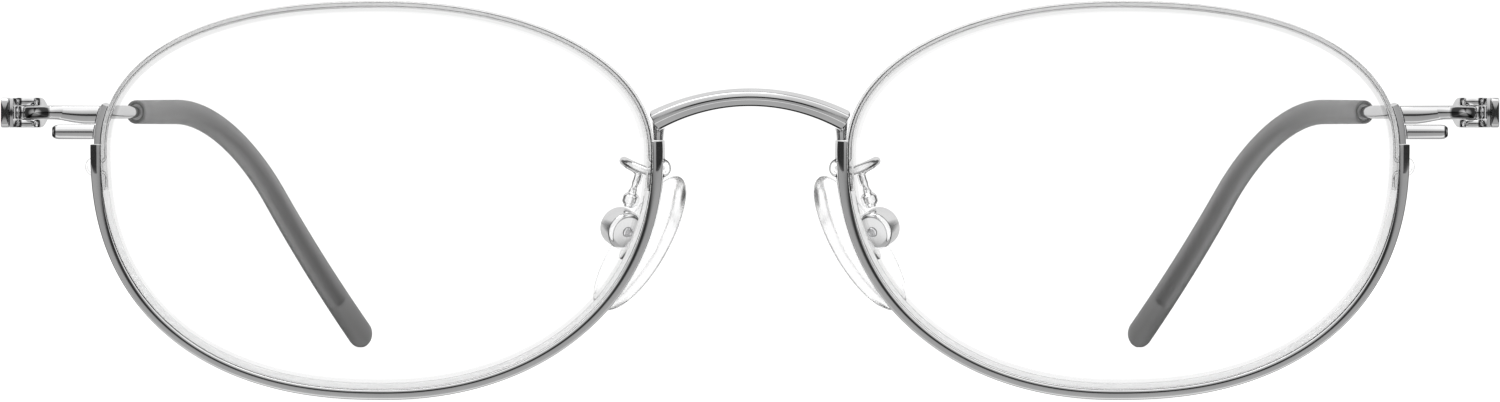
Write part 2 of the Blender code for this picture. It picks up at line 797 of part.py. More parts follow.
def temple_frame():
    """The left temple's own frame at its hinge: Y along the temple, X outward."""
    return Matrix.Translation(hinge_place()) @ Matrix.Rotation(TEMPLE_TOE_IN, 4, "Z")


def make_temple_hinge(parts, cutters):
    """A leaf on the temple with the upper and the lower knuckle."""
    frame = temple_frame()
    half_height = HINGE_HEIGHT / 2
    inner_end = MIDDLE_KNUCKLE_HEIGHT / 2 + HINGE_GAP
    leaf_outer = BUTT_OFFSET - FIT_GAP
    leaf = box(
        "left_temple_hinge",
        (leaf_outer - LEAF_THICKNESS, -BUTT_LEAD + FIT_GAP, -half_height),
        (leaf_outer, LEAF_LENGTH, half_height),
        parts, frame,
    )
    for sign, label in ((1, "upper"), (-1, "lower")):
        low = min(sign * inner_end, sign * half_height)
        high = max(sign * inner_end, sign * half_height)
        arm = box(
            label + "_arm",
            (0.0, -KNUCKLE_RADIUS * 0.6, low),
            (leaf_outer - LEAF_THICKNESS / 2, KNUCKLE_RADIUS * 0.98, high),
            parts, frame,
        )
        leaf = boolean(leaf, arm, "UNION")
        knuckle = cylinder(
            label + "_knuckle", KNUCKLE_RADIUS, high - low, parts,
            frame @ Matrix.Translation((0.0, 0.0, (low + high) / 2)), sides=24,
        )
        leaf = boolean(leaf, knuckle, "UNION")
    hole = cylinder(
        "temple_hinge_hole", HINGE_SCREW_RADIUS + HINGE_GAP, HINGE_HEIGHT + CUTTER_EXTRA, cutters,
        frame, sides=16,
    )
    leaf = boolean(leaf, hole, "DIFFERENCE")
    seat_depth = HINGE_SCREW_HEAD_HEIGHT + FIT_GAP
    seat = cylinder(
        "screw_head_seat", HINGE_SCREW_HEAD_RADIUS + HINGE_GAP, 2 * seat_depth, cutters,
        frame @ Matrix.Translation((0.0, 0.0, half_height)), sides=16,
    )
    return boolean(leaf, seat, "DIFFERENCE")


def make_hinge_screw(parts, cutters):
    """A slotted screw whose head sits in the upper knuckle."""
    hinge = hinge_place()
    half_height = HINGE_HEIGHT / 2
    head_bottom = half_height - HINGE_SCREW_HEAD_HEIGHT
    shank_length = half_height + head_bottom + FIT_GAP
    shank_middle = (head_bottom + FIT_GAP - half_height) / 2
    shank_place = Matrix.Translation(hinge + Vector((0.0, 0.0, shank_middle)))
    screw = cylinder(
        "left_hinge_screw", HINGE_SCREW_RADIUS, shank_length, parts, shank_place, sides=16,
    )
    head_middle = head_bottom + HINGE_SCREW_HEAD_HEIGHT / 2
    head = cylinder(
        "screw_head", HINGE_SCREW_HEAD_RADIUS, HINGE_SCREW_HEAD_HEIGHT, parts,
        Matrix.Translation(hinge + Vector((0.0, 0.0, head_middle))), sides=16,
    )
    screw = boolean(screw, head, "UNION")
    slot_width = HINGE_SCREW_HEAD_RADIUS * 0.3
    reach = HINGE_SCREW_HEAD_RADIUS * 2
    slot = box(
        "hinge_screw_slot",
        (-reach, -slot_width / 2, head_middle),
        (reach, slot_width / 2, half_height + CUTTER_EXTRA),
        cutters, Matrix.Translation(hinge),
    )
    return boolean(screw, slot, "DIFFERENCE")


def leg_length():
    """Straight length behind the ear bend that brings the sleeve's end down to the table."""
    bend_drop = EAR_BEND_RADIUS * (1 - math.cos(EAR_BEND_ANGLE))
    end_height = SLEEVE_HEIGHT_TIP / 2 * (1 - math.sin(EAR_BEND_ANGLE))
    return (hinge_level() - bend_drop - end_height) / math.sin(EAR_BEND_ANGLE)


def temple_length():
    return EAR_BEND_START + EAR_BEND_RADIUS * EAR_BEND_ANGLE + leg_length()


def temple_point(distance):
    """Place along the temple's centre line in its own frame: down over the ear and inward."""
    bend_end = EAR_BEND_START + EAR_BEND_RADIUS * EAR_BEND_ANGLE
    if distance <= EAR_BEND_START:
        along = distance
        drop = 0.0
    elif distance <= bend_end:
        swing = (distance - EAR_BEND_START) / EAR_BEND_RADIUS
        along = EAR_BEND_START + EAR_BEND_RADIUS * math.sin(swing)
        drop = EAR_BEND_RADIUS * (1 - math.cos(swing))
    else:
        rest = distance - bend_end
        along = EAR_BEND_START + EAR_BEND_RADIUS * math.sin(EAR_BEND_ANGLE)
        along += rest * math.cos(EAR_BEND_ANGLE)
        drop = EAR_BEND_RADIUS * (1 - math.cos(EAR_BEND_ANGLE))
        drop += rest * math.sin(EAR_BEND_ANGLE)
    inward = max(0.0, along - SWEEP_START) ** 2 / (2 * SWEEP_RADIUS)
    return Vector((BUTT_OFFSET + BUTT_THICKNESS / 2 - inward, along, -drop))


def temple_section(distance, width, height, roundness, count, shift=0.0):
    """A ring round the temple's centre line: roundness 2 is oval, higher is squarer."""
    step = 0.0005
    tangent = (temple_point(distance + step) - temple_point(distance - step)).normalized()
    side = tangent.cross(Vector((0.0, 0.0, 1.0))).normalized()
    upward = side.cross(tangent).normalized()
    ring = []
    for index in range(count):
        angle = 2 * math.pi * (index + 0.5) / count
        x = signed_power(math.cos(angle), 2 / roundness) * width / 2
        z = signed_power(math.sin(angle), 2 / roundness) * height / 2
        ring.append(temple_frame() @ (temple_point(distance) + side * (x + shift) + upward * z))
    return ring


def temple_stations(start, end):
    """Distances along the temple, closer together where it bends."""
    stations = [start]
    while stations[-1] < end:
        step = STRAIGHT_STEP if stations[-1] + STRAIGHT_STEP < EAR_BEND_START else BENT_STEP
        stations.append(min(end, stations[-1] + step))
    return stations


def make_temple(parts):
    """A tall flat butt that turns into a wire, which carries on as the core of the sleeve."""
    count = 8
    square = 12.0
    lead = BUTT_LEAD / 3
    wire_start = BUTT_LENGTH + BUTT_TAPER * 1.5
    rings = [
        temple_section(-BUTT_LEAD, BUTT_THICKNESS, HINGE_HEIGHT - 2 * lead, square, count),
        temple_section(-BUTT_LEAD + lead, BUTT_THICKNESS, HINGE_HEIGHT, square, count),
        temple_section(BUTT_LENGTH - BUTT_TAPER, BUTT_THICKNESS, HINGE_HEIGHT, square, count),
        temple_section(BUTT_LENGTH - BUTT_TAPER / 3, BUTT_THICKNESS, HINGE_HEIGHT * 0.88, 8.0, count),
        temple_section(BUTT_LENGTH, WIRE_WIDTH * 0.9, WIRE_HEIGHT * 1.2, 4.0, count),
        temple_section(wire_start, WIRE_WIDTH, WIRE_HEIGHT, 2.4, count),
    ]
    for distance in temple_stations(wire_start + STRAIGHT_STEP, SLEEVE_START - CORE_TAPER):
        rings.append(temple_section(distance, WIRE_WIDTH, WIRE_HEIGHT, 2.4, count))
    core_end = temple_length() - SLEEVE_SOLID_TIP - REST_GAP
    for distance in temple_stations(SLEEVE_START + CORE_TAPER, core_end):
        rings.append(temple_section(distance, CORE_DIAMETER, CORE_DIAMETER, 2.0, count))
    return loft("left_temple", rings, parts)


def sleeve_size(distance):
    """Outer width and height of the sleeve, from its mouth to its tip."""
    share = (distance - SLEEVE_START) / (temple_length() - SLEEVE_START)
    width = SLEEVE_WIDTH_MOUTH + (SLEEVE_WIDTH_TIP - SLEEVE_WIDTH_MOUTH) * share
    height = SLEEVE_HEIGHT_MOUTH + (SLEEVE_HEIGHT_TIP - SLEEVE_HEIGHT_MOUTH) * share
    return width, height


def make_temple_tip(parts):
    """A soft sleeve over the temple's core, open at its mouth and rounded at its end."""
    count = 10
    total = temple_length()
    cap = SLEEVE_HEIGHT_TIP / 2
    bore = CORE_DIAMETER + 3 * REST_GAP
    bore_end = total - SLEEVE_SOLID_TIP
    stations = temple_stations(SLEEVE_START + CORE_TAPER, bore_end)
    rings = [temple_section(distance, bore, bore, 2.0, count) for distance in reversed(stations)]
    mouth_end = SLEEVE_START + SLEEVE_MOUTH_LENGTH
    throat_width = WIRE_WIDTH + 4 * REST_GAP
    throat_height = WIRE_HEIGHT + 4 * REST_GAP
    rings.append(temple_section(mouth_end, throat_width, throat_height, 2.0, count))
    rings.append(temple_section(SLEEVE_START, throat_width, throat_height, 2.0, count))
    lip_width = SLEEVE_WIDTH_MOUTH - SLEEVE_LIP_WIDTH
    lip_height = SLEEVE_HEIGHT_MOUTH - SLEEVE_LIP_WIDTH
    rings.append(temple_section(SLEEVE_START, lip_width, lip_height, 2.0, count))
    for distance in temple_stations(SLEEVE_START + SLEEVE_LIP_ROUND, total - cap):
        width, height = sleeve_size(distance)
        rings.append(temple_section(distance, width, height, 2.2, count))
    for turn in (30.0, 55.0, 75.0):
        swing = math.radians(turn)
        width, height = sleeve_size(total)
        distance = total - cap + cap * math.sin(swing)
        share = math.cos(swing)
        rings.append(temple_section(distance, width * share, height * share, 2.1, count))
    return loft("left_temple_tip", rings, parts)


def pad_frame():
    """The left pad's frame at its screw: X towards the nose, Y to the front edge, Z up the pad."""
    level = lens_centre().z + PAD_BOX_ABOVE_MIDDLE
    centre = Vector((PAD_BOX_SPREAD, PAD_BOX_SETBACK, level))
    long_axis = Vector((-math.sin(PAD_LEAN), 0.0, math.cos(PAD_LEAN)))
    flat_normal = Vector((-math.cos(PAD_LEAN), 0.0, -math.sin(PAD_LEAN)))
    normal = flat_normal * math.cos(PAD_SPLAY) + Vector((0.0, 1.0, 0.0)) * math.sin(PAD_SPLAY)
    front = long_axis.cross(normal)
    turn = Matrix((normal, front, long_axis)).transposed().to_4x4()
    return Matrix.Translation(centre) @ turn


def make_pad_box(parts, cutters):
    """A round cup with a slot for the pad's stem and a screw hole through both cheeks."""
    frame = pad_frame()
    along_screw = frame @ Matrix.Rotation(math.radians(90.0), 4, "X")
    cup = cylinder("left_pad_box", PAD_BOX_RADIUS, PAD_BOX_WIDTH, parts, along_screw, sides=24)
    cup = bevelled(cup, PAD_BOX_CORNER)
    wall = PAD_BOX_RADIUS - PAD_STEM_RADIUS - PAD_STEM_ROOM
    slot = box(
        "pad_slot",
        (-PAD_BOX_RADIUS + wall, -PAD_SLOT_WIDTH / 2, -PAD_BOX_RADIUS + wall),
        (PAD_BOX_RADIUS + CUTTER_EXTRA, PAD_SLOT_WIDTH / 2, PAD_BOX_RADIUS - wall),
        cutters, frame,
    )
    cup = boolean(cup, slot, "DIFFERENCE")
    reach = PAD_BOX_RADIUS + CUTTER_EXTRA
    mouth = box("pad_box_mouth", (PAD_BOX_MOUTH, -reach, -reach), (reach, reach, reach), cutters, frame)
    cup = boolean(cup, mouth, "DIFFERENCE")
    hole = cylinder(
        "pad_screw_hole", PAD_SCREW_RADIUS + FIT_GAP, PAD_BOX_WIDTH + CUTTER_EXTRA, cutters,
        along_screw, sides=14,
    )
    return boolean(cup, hole, "DIFFERENCE")


def make_pad_screw(parts):
    """The screw that the pad rocks on, with its head at the rear cheek."""
    frame = pad_frame()
    along_screw = Matrix.Rotation(math.radians(90.0), 4, "X")
    front_end = PAD_BOX_WIDTH / 2 + PAD_SCREW_NUB
    head_front = -PAD_BOX_WIDTH / 2 - FIT_GAP
    rear_end = head_front - PAD_SCREW_HEAD_HEIGHT / 2
    middle = frame @ Matrix.Translation((0.0, (front_end + rear_end) / 2, 0.0)) @ along_screw
    length = front_end - rear_end
    screw = cylinder("left_pad_screw", PAD_SCREW_RADIUS, length, parts, middle, sides=14)
    head_middle = head_front - PAD_SCREW_HEAD_HEIGHT / 2
    head_place = frame @ Matrix.Translation((0.0, head_middle, 0.0)) @ along_screw
    head = cylinder(
        "pad_screw_head", PAD_SCREW_HEAD_RADIUS, PAD_SCREW_HEAD_HEIGHT, parts, head_place, sides=14,
    )
    return boolean(screw, head, "UNION")


def pad_plate_seat():
    """Distance from the pad's screw to the outer face of the stem's plate."""
    return PAD_BOX_MOUTH + 3 * REST_GAP + PAD_PLATE_THICKNESS


def make_pad_stem(parts, cutters):
    """A hard tongue on the screw, with the oval plate that carries the pad."""
    frame = pad_frame()
    thickness = PAD_SLOT_WIDTH - 2 * REST_GAP
    along_screw = frame @ Matrix.Rotation(math.radians(90.0), 4, "X")
    stem = cylinder("left_pad_stem", PAD_STEM_RADIUS, thickness, parts, along_screw, sides=20)
    plate_outer = pad_plate_seat()
    plate_inner = plate_outer - PAD_PLATE_THICKNESS
    half_neck = thickness * 0.47
    half_span = PAD_STEM_RADIUS * 0.95
    neck = box(
        "stem_neck",
        (0.0, -half_neck, -half_span),
        (plate_inner + PAD_PLATE_THICKNESS / 2, half_neck, half_span),
        parts, frame,
    )
    stem = boolean(stem, neck, "UNION")
    squash = Matrix.Diagonal((PAD_PLATE_LENGTH / 2, PAD_PLATE_WIDTH / 2, 1.0, 1.0))
    facing = Matrix.Rotation(math.radians(90.0), 4, "Y")
    plate = cylinder(
        "stem_plate", 1.0, PAD_PLATE_THICKNESS, parts,
        frame @ Matrix.Translation(((plate_inner + plate_outer) / 2, 0.0, 0.0)) @ facing @ squash,
        sides=20,
    )
    stem = boolean(stem, plate, "UNION")
    hole = cylinder(
        "stem_hole", PAD_SCREW_RADIUS + FIT_GAP, PAD_BOX_WIDTH, cutters, along_screw, sides=14,
    )
    return boolean(stem, hole, "DIFFERENCE")


def make_nose_pad(parts):
    """A soft egg-shaped pad, fuller at its lower end, flat behind and crowned towards the nose."""
    frame = pad_frame()
    count = 16
    back = pad_plate_seat() + REST_GAP

    def ring(share, height):
        points = []
        for index in range(count):
            angle = 2 * math.pi * index / count
            up = math.sin(angle) * share
            across = math.cos(angle) * share * (1.0 - 0.12 * up)
            lift = height * (1.0 - 0.15 * up * up)
            spot = Vector((back + lift, across * PAD_WIDTH / 2, up * PAD_LENGTH / 2 - PAD_DROP))
            points.append(frame @ spot)
        return points

    rings = [
        ring(0.90, 0.0),
        ring(1.00, PAD_THICKNESS * 0.35),
        ring(0.94, PAD_THICKNESS * 0.70),
        ring(0.70, PAD_THICKNESS * 0.95),
        ring(0.30, PAD_THICKNESS),
    ]
    return loft("left_nose_pad", rings, parts)


def make_pad_arm(parts):
    """A wire from the back of the rim that loops outward and down to the pad's box."""
    centre = pad_frame().translation
    up_the_pad = pad_frame().to_3x3() @ Vector((0.0, 0.0, 1.0))
    up_the_box = (up_the_pad + Vector((0.0, 0.0, 1.0))).normalized()
    start_angle = angle_at_level(PAD_ARM_ABOVE_MIDDLE, True)
    half_wire = PAD_ARM_DIAMETER / 2
    back = LENS_THICKNESS / 2 + RIM_DEPTH / 2 + REST_GAP
    root = edge_place(start_angle, REST_GAP + RIM_WIDTH / 2, back)
    rear = Vector((0.0, 1.0, 0.0))
    out = Vector((1.0, 0.0, 0.0))
    up = Vector((0.0, 0.0, 1.0))
    top = centre + up_the_box * (PAD_BOX_RADIUS + REST_GAP + half_wire * 0.3)
    anchors = [root]
    for back_step, out_step, up_step in PAD_ARM_ROUTE:
        anchors.append(root + rear * back_step + out * out_step + up * up_step)
    anchors += [top + up_the_box * PAD_ARM_NECK, top + up_the_box * PAD_ARM_COLLAR, top]
    count = 26
    path = smooth_run(anchors, count)
    radii = [1.0] * (count - len(PAD_ARM_COLLAR_SIZES)) + list(PAD_ARM_COLLAR_SIZES)
    return wire("left_pad_arm", path, PAD_ARM_DIAMETER, parts, sides_step=2, radii=radii)


def mirrored(item, parts):
    """The right-hand twin of a left piece, with its place in its mesh."""
    mesh = item.data.copy()
    mesh.transform(Matrix.Scale(-1.0, 4, (1.0, 0.0, 0.0)))
    mesh.flip_normals()
    name = item.name.replace("left_", "right_", 1)
    mesh.name = name
    return link(name, mesh, parts)


def smooth(item):
    item.data.shade_smooth()
    item.data.set_sharp_from_angle(angle=math.radians(38.0))


def hang_on(item, holder):
    """Parent a piece, keeping its place: the mesh moves into its holder's frame."""
    item.data.transform(holder.matrix_world.inverted())
    item.parent = holder
    item.matrix_parent_inverse = Matrix.Identity(4)


def new_empty(name, place, parts):
    holder = link(name, None, parts)
    holder.empty_display_size = 0.004
    holder.matrix_world = place
    return holder


def materials():
    silver = metal_material("polished_silver", (0.80, 0.80, 0.80), 0.08)
    screw_steel = metal_material("screw_steel", (0.62, 0.62, 0.63), 0.22)
    lens = clear_material("clear_lens", (1.0, 1.0, 1.0), 0.0, 1.5)
    nylon = clear_material("clear_nylon", (0.93, 0.93, 0.93), 0.15, 1.53)
    liner = clear_material("white_liner", (0.9, 0.9, 0.9), 0.4, 1.5)
    silicone = clear_material("clear_silicone", (0.97, 0.97, 0.97), 0.12, 1.41)
    insert = clear_material("clear_insert", (0.9, 0.9, 0.9), 0.1, 1.58)
    sleeve = sleeve_material()
    return {
        "bridge": silver, "rim": silver, "bridge_foot": silver, "rim_lug": silver, "end_piece": silver,
        "end_trim": silver, "temple": silver, "temple_hinge": silver, "pad_arm": silver, "pad_box": silver,
        "hinge_screw": screw_steel, "pad_screw": screw_steel, "lens": lens, "lens_cord": nylon,
        "rim_liner": liner, "nose_pad": silicone, "pad_stem": insert, "temple_tip": sleeve,
    }


def make_left_pieces(parts, cutters):
    room = lug_room(cutters)
    fixed = [
        make_lens(parts),
        make_rim(parts, cutters),
        make_rim_liner(parts),
        make_cord(parts),
        make_bridge_foot(parts, cutters),
        make_rim_lug(parts),
        make_end_piece(parts, cutters, room),
        make_end_trim(parts, room),
        make_hinge_screw(parts, cutters),
        make_pad_arm(parts),
        make_pad_box(parts, cutters),
        make_pad_screw(parts),
    ]
    on_temple = [
        make_temple(parts),
        make_temple_hinge(parts, cutters),
        make_temple_tip(parts),
    ]
    on_pad = [
        make_pad_stem(parts, cutters),
        make_nose_pad(parts),
    ]
    return fixed, on_temple, on_pad


def lowest_and_middle(pieces):
    """Lowest height, and the middle from front to back, of all the pieces."""
    spots = [vertex.co for piece in pieces for vertex in piece.data.vertices]
    depths = [spot.y for spot in spots]
    return min(spot.z for spot in spots), (min(depths) + max(depths)) / 2


def build():
    clear_scene()
    parts = new_collection(OBJECT_NAME)
    cutters = new_collection("cutters")
    bridge = make_bridge(parts)
    fixed, on_temple, on_pad = make_left_pieces(parts, cutters)
    twins = [[mirrored(item, parts) for item in group] for group in (fixed, on_temple, on_pad)]

    everything = [bridge, *fixed, *on_temple, *on_pad, *twins[0], *twins[1], *twins[2]]
    lowest, middle = lowest_and_middle(everything)
    shift = Matrix.Translation((0.0, -middle, -lowest))
    for item in [*everything, *cutters.objects]:
        item.data.transform(shift)

    frame = new_empty("front", shift, parts)
    finishes = materials()
    for side, sign, groups in (("left", 1, (fixed, on_temple, on_pad)), ("right", -1, twins)):
        flip = Matrix.Diagonal((sign, 1.0, 1.0, 1.0))
        hinge = new_empty(side + "_hinge_axis", Matrix.Translation(shift @ (flip @ hinge_place())), parts)
        pad_spot = shift @ (flip @ pad_frame().translation)
        pad_axis = new_empty(side + "_pad_axis", Matrix.Translation(pad_spot), parts)
        bpy.context.view_layer.update()
        for item in groups[0]:
            hang_on(item, frame)
        for item in groups[1]:
            hang_on(item, hinge)
        for item in groups[2]:
            hang_on(item, pad_axis)
        for axis in (hinge, pad_axis):
            place = axis.matrix_world.copy()
            axis.parent = frame
            axis.matrix_world = place
    bpy.context.view_layer.update()
    hang_on(bridge, frame)
    for item in everything:
        smooth(item)
        kind = item.name.replace("left_", "").replace("right_", "")
        item.data.materials.clear()
        item.data.materials.append(finishes[kind])


build()
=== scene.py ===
import json
import math

import bmesh
import bpy
from mathutils import Matrix, Vector


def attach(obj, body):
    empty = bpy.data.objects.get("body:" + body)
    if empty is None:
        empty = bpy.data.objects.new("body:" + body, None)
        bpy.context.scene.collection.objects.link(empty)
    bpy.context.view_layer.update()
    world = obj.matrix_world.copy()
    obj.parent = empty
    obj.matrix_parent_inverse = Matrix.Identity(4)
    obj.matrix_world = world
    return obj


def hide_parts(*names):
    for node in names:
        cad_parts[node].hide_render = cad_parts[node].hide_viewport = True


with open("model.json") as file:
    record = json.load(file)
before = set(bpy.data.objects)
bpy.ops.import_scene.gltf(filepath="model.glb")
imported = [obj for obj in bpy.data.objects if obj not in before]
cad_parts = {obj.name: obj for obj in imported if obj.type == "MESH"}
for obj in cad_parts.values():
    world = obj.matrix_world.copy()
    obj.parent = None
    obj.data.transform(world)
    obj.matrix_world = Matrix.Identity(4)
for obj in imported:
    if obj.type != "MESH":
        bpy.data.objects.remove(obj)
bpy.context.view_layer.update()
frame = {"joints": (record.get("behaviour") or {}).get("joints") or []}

# the frame's joints give the hinge and the pad places, and all other places are measured from them
frontPlane = Matrix.Rotation(math.radians(90), 4, "X")
upAxis = Vector((0, 0, 1))
rearAxis = Vector((0, 1, 0))
outAxis = Vector((1, 0, 0))
fitGap = 0.00006
restGap = 0.00008
hinge = {
    "setback": 0.0100, "aboveMiddle": 0.007832, "height": 0.0028, "middleHeight": 0.0012, "radius": 0.00125,
    "screwRadius": 0.00055, "headRadius": 0.00082, "headHeight": 0.00036, "leafLength": 0.0045,
    "leafThickness": 0.00035,
}
joints = {joint["name"]: joint for joint in frame["joints"]}
hingeSpot = Vector(joints["left_temple_fold"]["pos_m"])
padSpot = Vector(joints["left_pad_rock"]["pos_m"])

lens = {
    "nasalHalf": 0.0254, "temporalHalf": 0.0263, "upperHeight": 0.0140, "lowerHeight": 0.0219,
    "upperPowers": (2.29, 2.12), "lowerPowers": (2.33, 2.16),  # temporal side, nasal side
    "thickness": 0.0020, "curveRadius": 0.130, "wrap": 6.0, "tilt": 4.0, "noseGap": 0.0179,
    "grooveWidth": 0.00072, "grooveDepth": 0.00055, "bevel": 0.00010,
    "shares": (0.06, 0.2, 0.35, 0.5, 0.64, 0.76, 0.85, 0.91),  # rings of its faces, then rings near the edge
    # the edge tones are painted shade: they grey the lens towards its edge, standing for the refraction there
    "insets": (0.0012, 0.0010, 0.00095, 0.0008, 0.00055, 0.0003), "edgeShadeTones": (0.0, 0.0, 0.5, 0.8, 1.0, 1.0),
}
rim = {
    "width": 0.00095, "depth": 0.0019, "channel": 0.00025, "nasalEnd": 0.0049, "temporalEnd": 0.0046,
    "crown": 13.0, "corner": 0.00012, "frontCorner": 0.00022,
    "flatLength": 0.0024, "flatInner": 0.12, "flatDepth": 0.00001,  # the flat on the outer part of each end
}
strip = {"height": 0.00056, "corner": 0.0001}
cord = {
    "diameter": 0.0006, "pitch": 0.0012, "belowNasal": 0.0018, "belowTemporal": 0.00145,
    "tail": 0.0010, "bend": 0.00033,
}


def signedPower(value, power):
    return math.copysign(abs(value) ** power, value)


def heightAndPower(upper, nasal):
    if upper:
        return lens["upperHeight"], lens["upperPowers"][nasal]
    return lens["lowerHeight"], lens["lowerPowers"][nasal]


widest = Vector((
    (lens["nasalHalf"] - lens["temporalHalf"]) / 2,
    (lens["lowerHeight"] - lens["upperHeight"]) / 2,
))
halfWidth = (lens["nasalHalf"] + lens["temporalHalf"]) / 2
halfHeight = (lens["upperHeight"] + lens["lowerHeight"]) / 2


def outlineSpot(angle):  # a point on the lens outline and the direction square to the edge
    cosine, sine = math.cos(angle), math.sin(angle)
    across = lens["temporalHalf"] if cosine >= 0 else lens["nasalHalf"]
    height, power = heightAndPower(sine >= 0, cosine < 0)
    spot = Vector((across * signedPower(cosine, 2 / power), height * signedPower(sine, 2 / power)))
    normal = Vector((
        signedPower(spot.x / across, power - 1) / across,
        signedPower(spot.y / height, power - 1) / height,
    ))
    return widest + spot, normal.normalized()


def angleAt(up, nasal):  # up is measured from the lens's middle
    height, power = heightAndPower(up >= widest.y, nasal)
    angle = math.asin(signedPower((up - widest.y) / height, power / 2))
    return math.pi - angle if nasal else angle


def lensDepth(across, up):
    return (across ** 2 + up ** 2) / (2 * lens["curveRadius"])


def findLensTurn():
    wrap, tilt = math.radians(lens["wrap"]), math.radians(lens["tilt"])
    nasalDepth = lensDepth(halfWidth, 0) + lens["thickness"] / 2
    across = lens["noseGap"] / 2 + halfWidth * math.cos(wrap) + nasalDepth * math.sin(wrap)
    centre = Vector((across, hingeSpot.y - hinge["setback"], hingeSpot.z - hinge["aboveMiddle"]))
    turn = Matrix.Rotation(wrap, 4, "Z") @ Matrix.Rotation(tilt, 4, "X")
    return Matrix.Translation(centre) @ turn


lensTurn = findLensTurn()
sweepTurn = lensTurn @ frontPlane
lensMiddle = lensTurn.translation


def edgeSpot(angle, outward=0.0, back=None):  # in the flat sweep frame: across, up, towards the front
    back = lens["thickness"] / 2 if back is None else back
    flat, normal = outlineSpot(angle)
    return Vector((flat.x + normal.x * outward, flat.y + normal.y * outward, -lensDepth(*flat) - back))


def evenRun(points, count):
    lengths = [0.0]
    for start, end in zip(points, points[1:]):
        lengths.append(lengths[-1] + (end - start).length)
    spread, index = [], 0
    for step in range(count):
        target = lengths[-1] * step / (count - 1)
        while index < len(points) - 2 and lengths[index + 1] < target:
            index += 1
        span = lengths[index + 1] - lengths[index]
        spread.append(points[index].lerp(points[index + 1], (target - lengths[index]) / span))
    return spread


def smoothRun(anchors, count):
    padded = [2 * anchors[0] - anchors[1], *anchors, 2 * anchors[-1] - anchors[-2]]
    dense = []
    for first, start, end, last in zip(padded, padded[1:], padded[2:], padded[3:]):
        for step in range(30):
            t = step / 30
            dense.append(0.5 * (
                2 * start + (end - first) * t + (2 * first - 5 * start + 4 * end - last) * t ** 2
                + (3 * start - first - 3 * end + last) * t ** 3
            ))
    dense.append(anchors[-1])
    return evenRun(dense, count)


def edgeRun(start, end, outward, count):
    dense = [edgeSpot(start + (end - start) * step / 1200, outward) for step in range(1201)]
    return evenRun(dense, count)


def roundOff(corners, radii, steps=5):  # a flat outline with each corner turned into an arc
    points = []
    for index, (spot, radius) in enumerate(zip(corners, radii)):
        corner = Vector(spot)
        if not radius:
            points.append(corner)
            continue
        before = (Vector(corners[index - 1]) - corner).normalized()
        after = (Vector(corners[(index + 1) % len(corners)]) - corner).normalized()
        half = before.angle(after) / 2
        centre = corner + (before + after).normalized() * radius / math.sin(half)
        start = corner + before * radius / math.tan(half) - centre
        end = corner + after * radius / math.tan(half) - centre
        total = start.angle(end)
        for step in range(steps + 1):
            swing = total * step / steps
            spoke = start * math.sin(total - swing) + end * math.sin(swing)
            points.append(centre + spoke / math.sin(total))
    return points


def crownedBar(width, height, corner, crown, steps=6):  # x across, y forward, its front face an arc
    half = width / 2
    arc = half / math.sin(math.radians(crown))
    front = []
    for step in range(steps + 1):
        swing = math.radians(crown) * (1 - 2 * step / steps)
        front.append((arc * math.sin(swing), height / 2 - arc + arc * math.cos(swing)))
    corners = [(-half, -height / 2), (half, -height / 2), *front]
    radii = [corner, corner, corner] + [0] * (steps - 1) + [corner]
    return roundOff(corners, radii)


def circle(radius, count=20):
    turns = [2 * math.pi * step / count for step in range(count)]
    return [Vector((radius * math.cos(turn), radius * math.sin(turn))) for turn in turns]


def mixed(start, end, share):
    return start + (end - start) * share


def eased(share):
    return share * share * (3 - 2 * share)


def drum(radius, low, high, edge=0.00008):  # a short cylinder's profile with its edges taken off
    return [(radius - edge, low), (radius - edge * 0.3, low + edge * 0.3), (radius, low + edge),
            (radius, high - edge), (radius - edge * 0.3, high - edge * 0.3), (radius - edge, high)]


def linkObject(name, data):
    item = bpy.data.objects.new(name, data)
    bpy.context.scene.collection.objects.link(item)
    return item


def tidyMesh(mesh, merge=0.0000008):
    work = bmesh.new()
    work.from_mesh(mesh)
    bmesh.ops.remove_doubles(work, verts=work.verts, dist=merge)
    bmesh.ops.recalc_face_normals(work, faces=work.faces)
    work.to_mesh(mesh)
    work.free()


def applied(item, place=None):  # a plain mesh of what the object evaluates to, with its place in the mesh
    bpy.context.view_layer.update()
    graph = bpy.context.evaluated_depsgraph_get()
    mesh = bpy.data.meshes.new_from_object(item.evaluated_get(graph))
    mesh.transform(place or item.matrix_world)
    tidyMesh(mesh)
    name = item.name
    bpy.data.objects.remove(item)
    mesh.name = name
    return linkObject(name, mesh)


def polyline(name, points, radii=None, closed=False):
    curve = bpy.data.curves.new(name, "CURVE")
    curve.dimensions = "3D"
    spline = curve.splines.new("POLY")
    spline.points.add(len(points) - 1)
    for slot, point in zip(spline.points, points):
        slot.co = (*point.to_3d(), 1)
    for slot, radius in zip(spline.points, radii or []):
        slot.radius = radius
    spline.use_cyclic_u = closed
    return linkObject(name, curve)


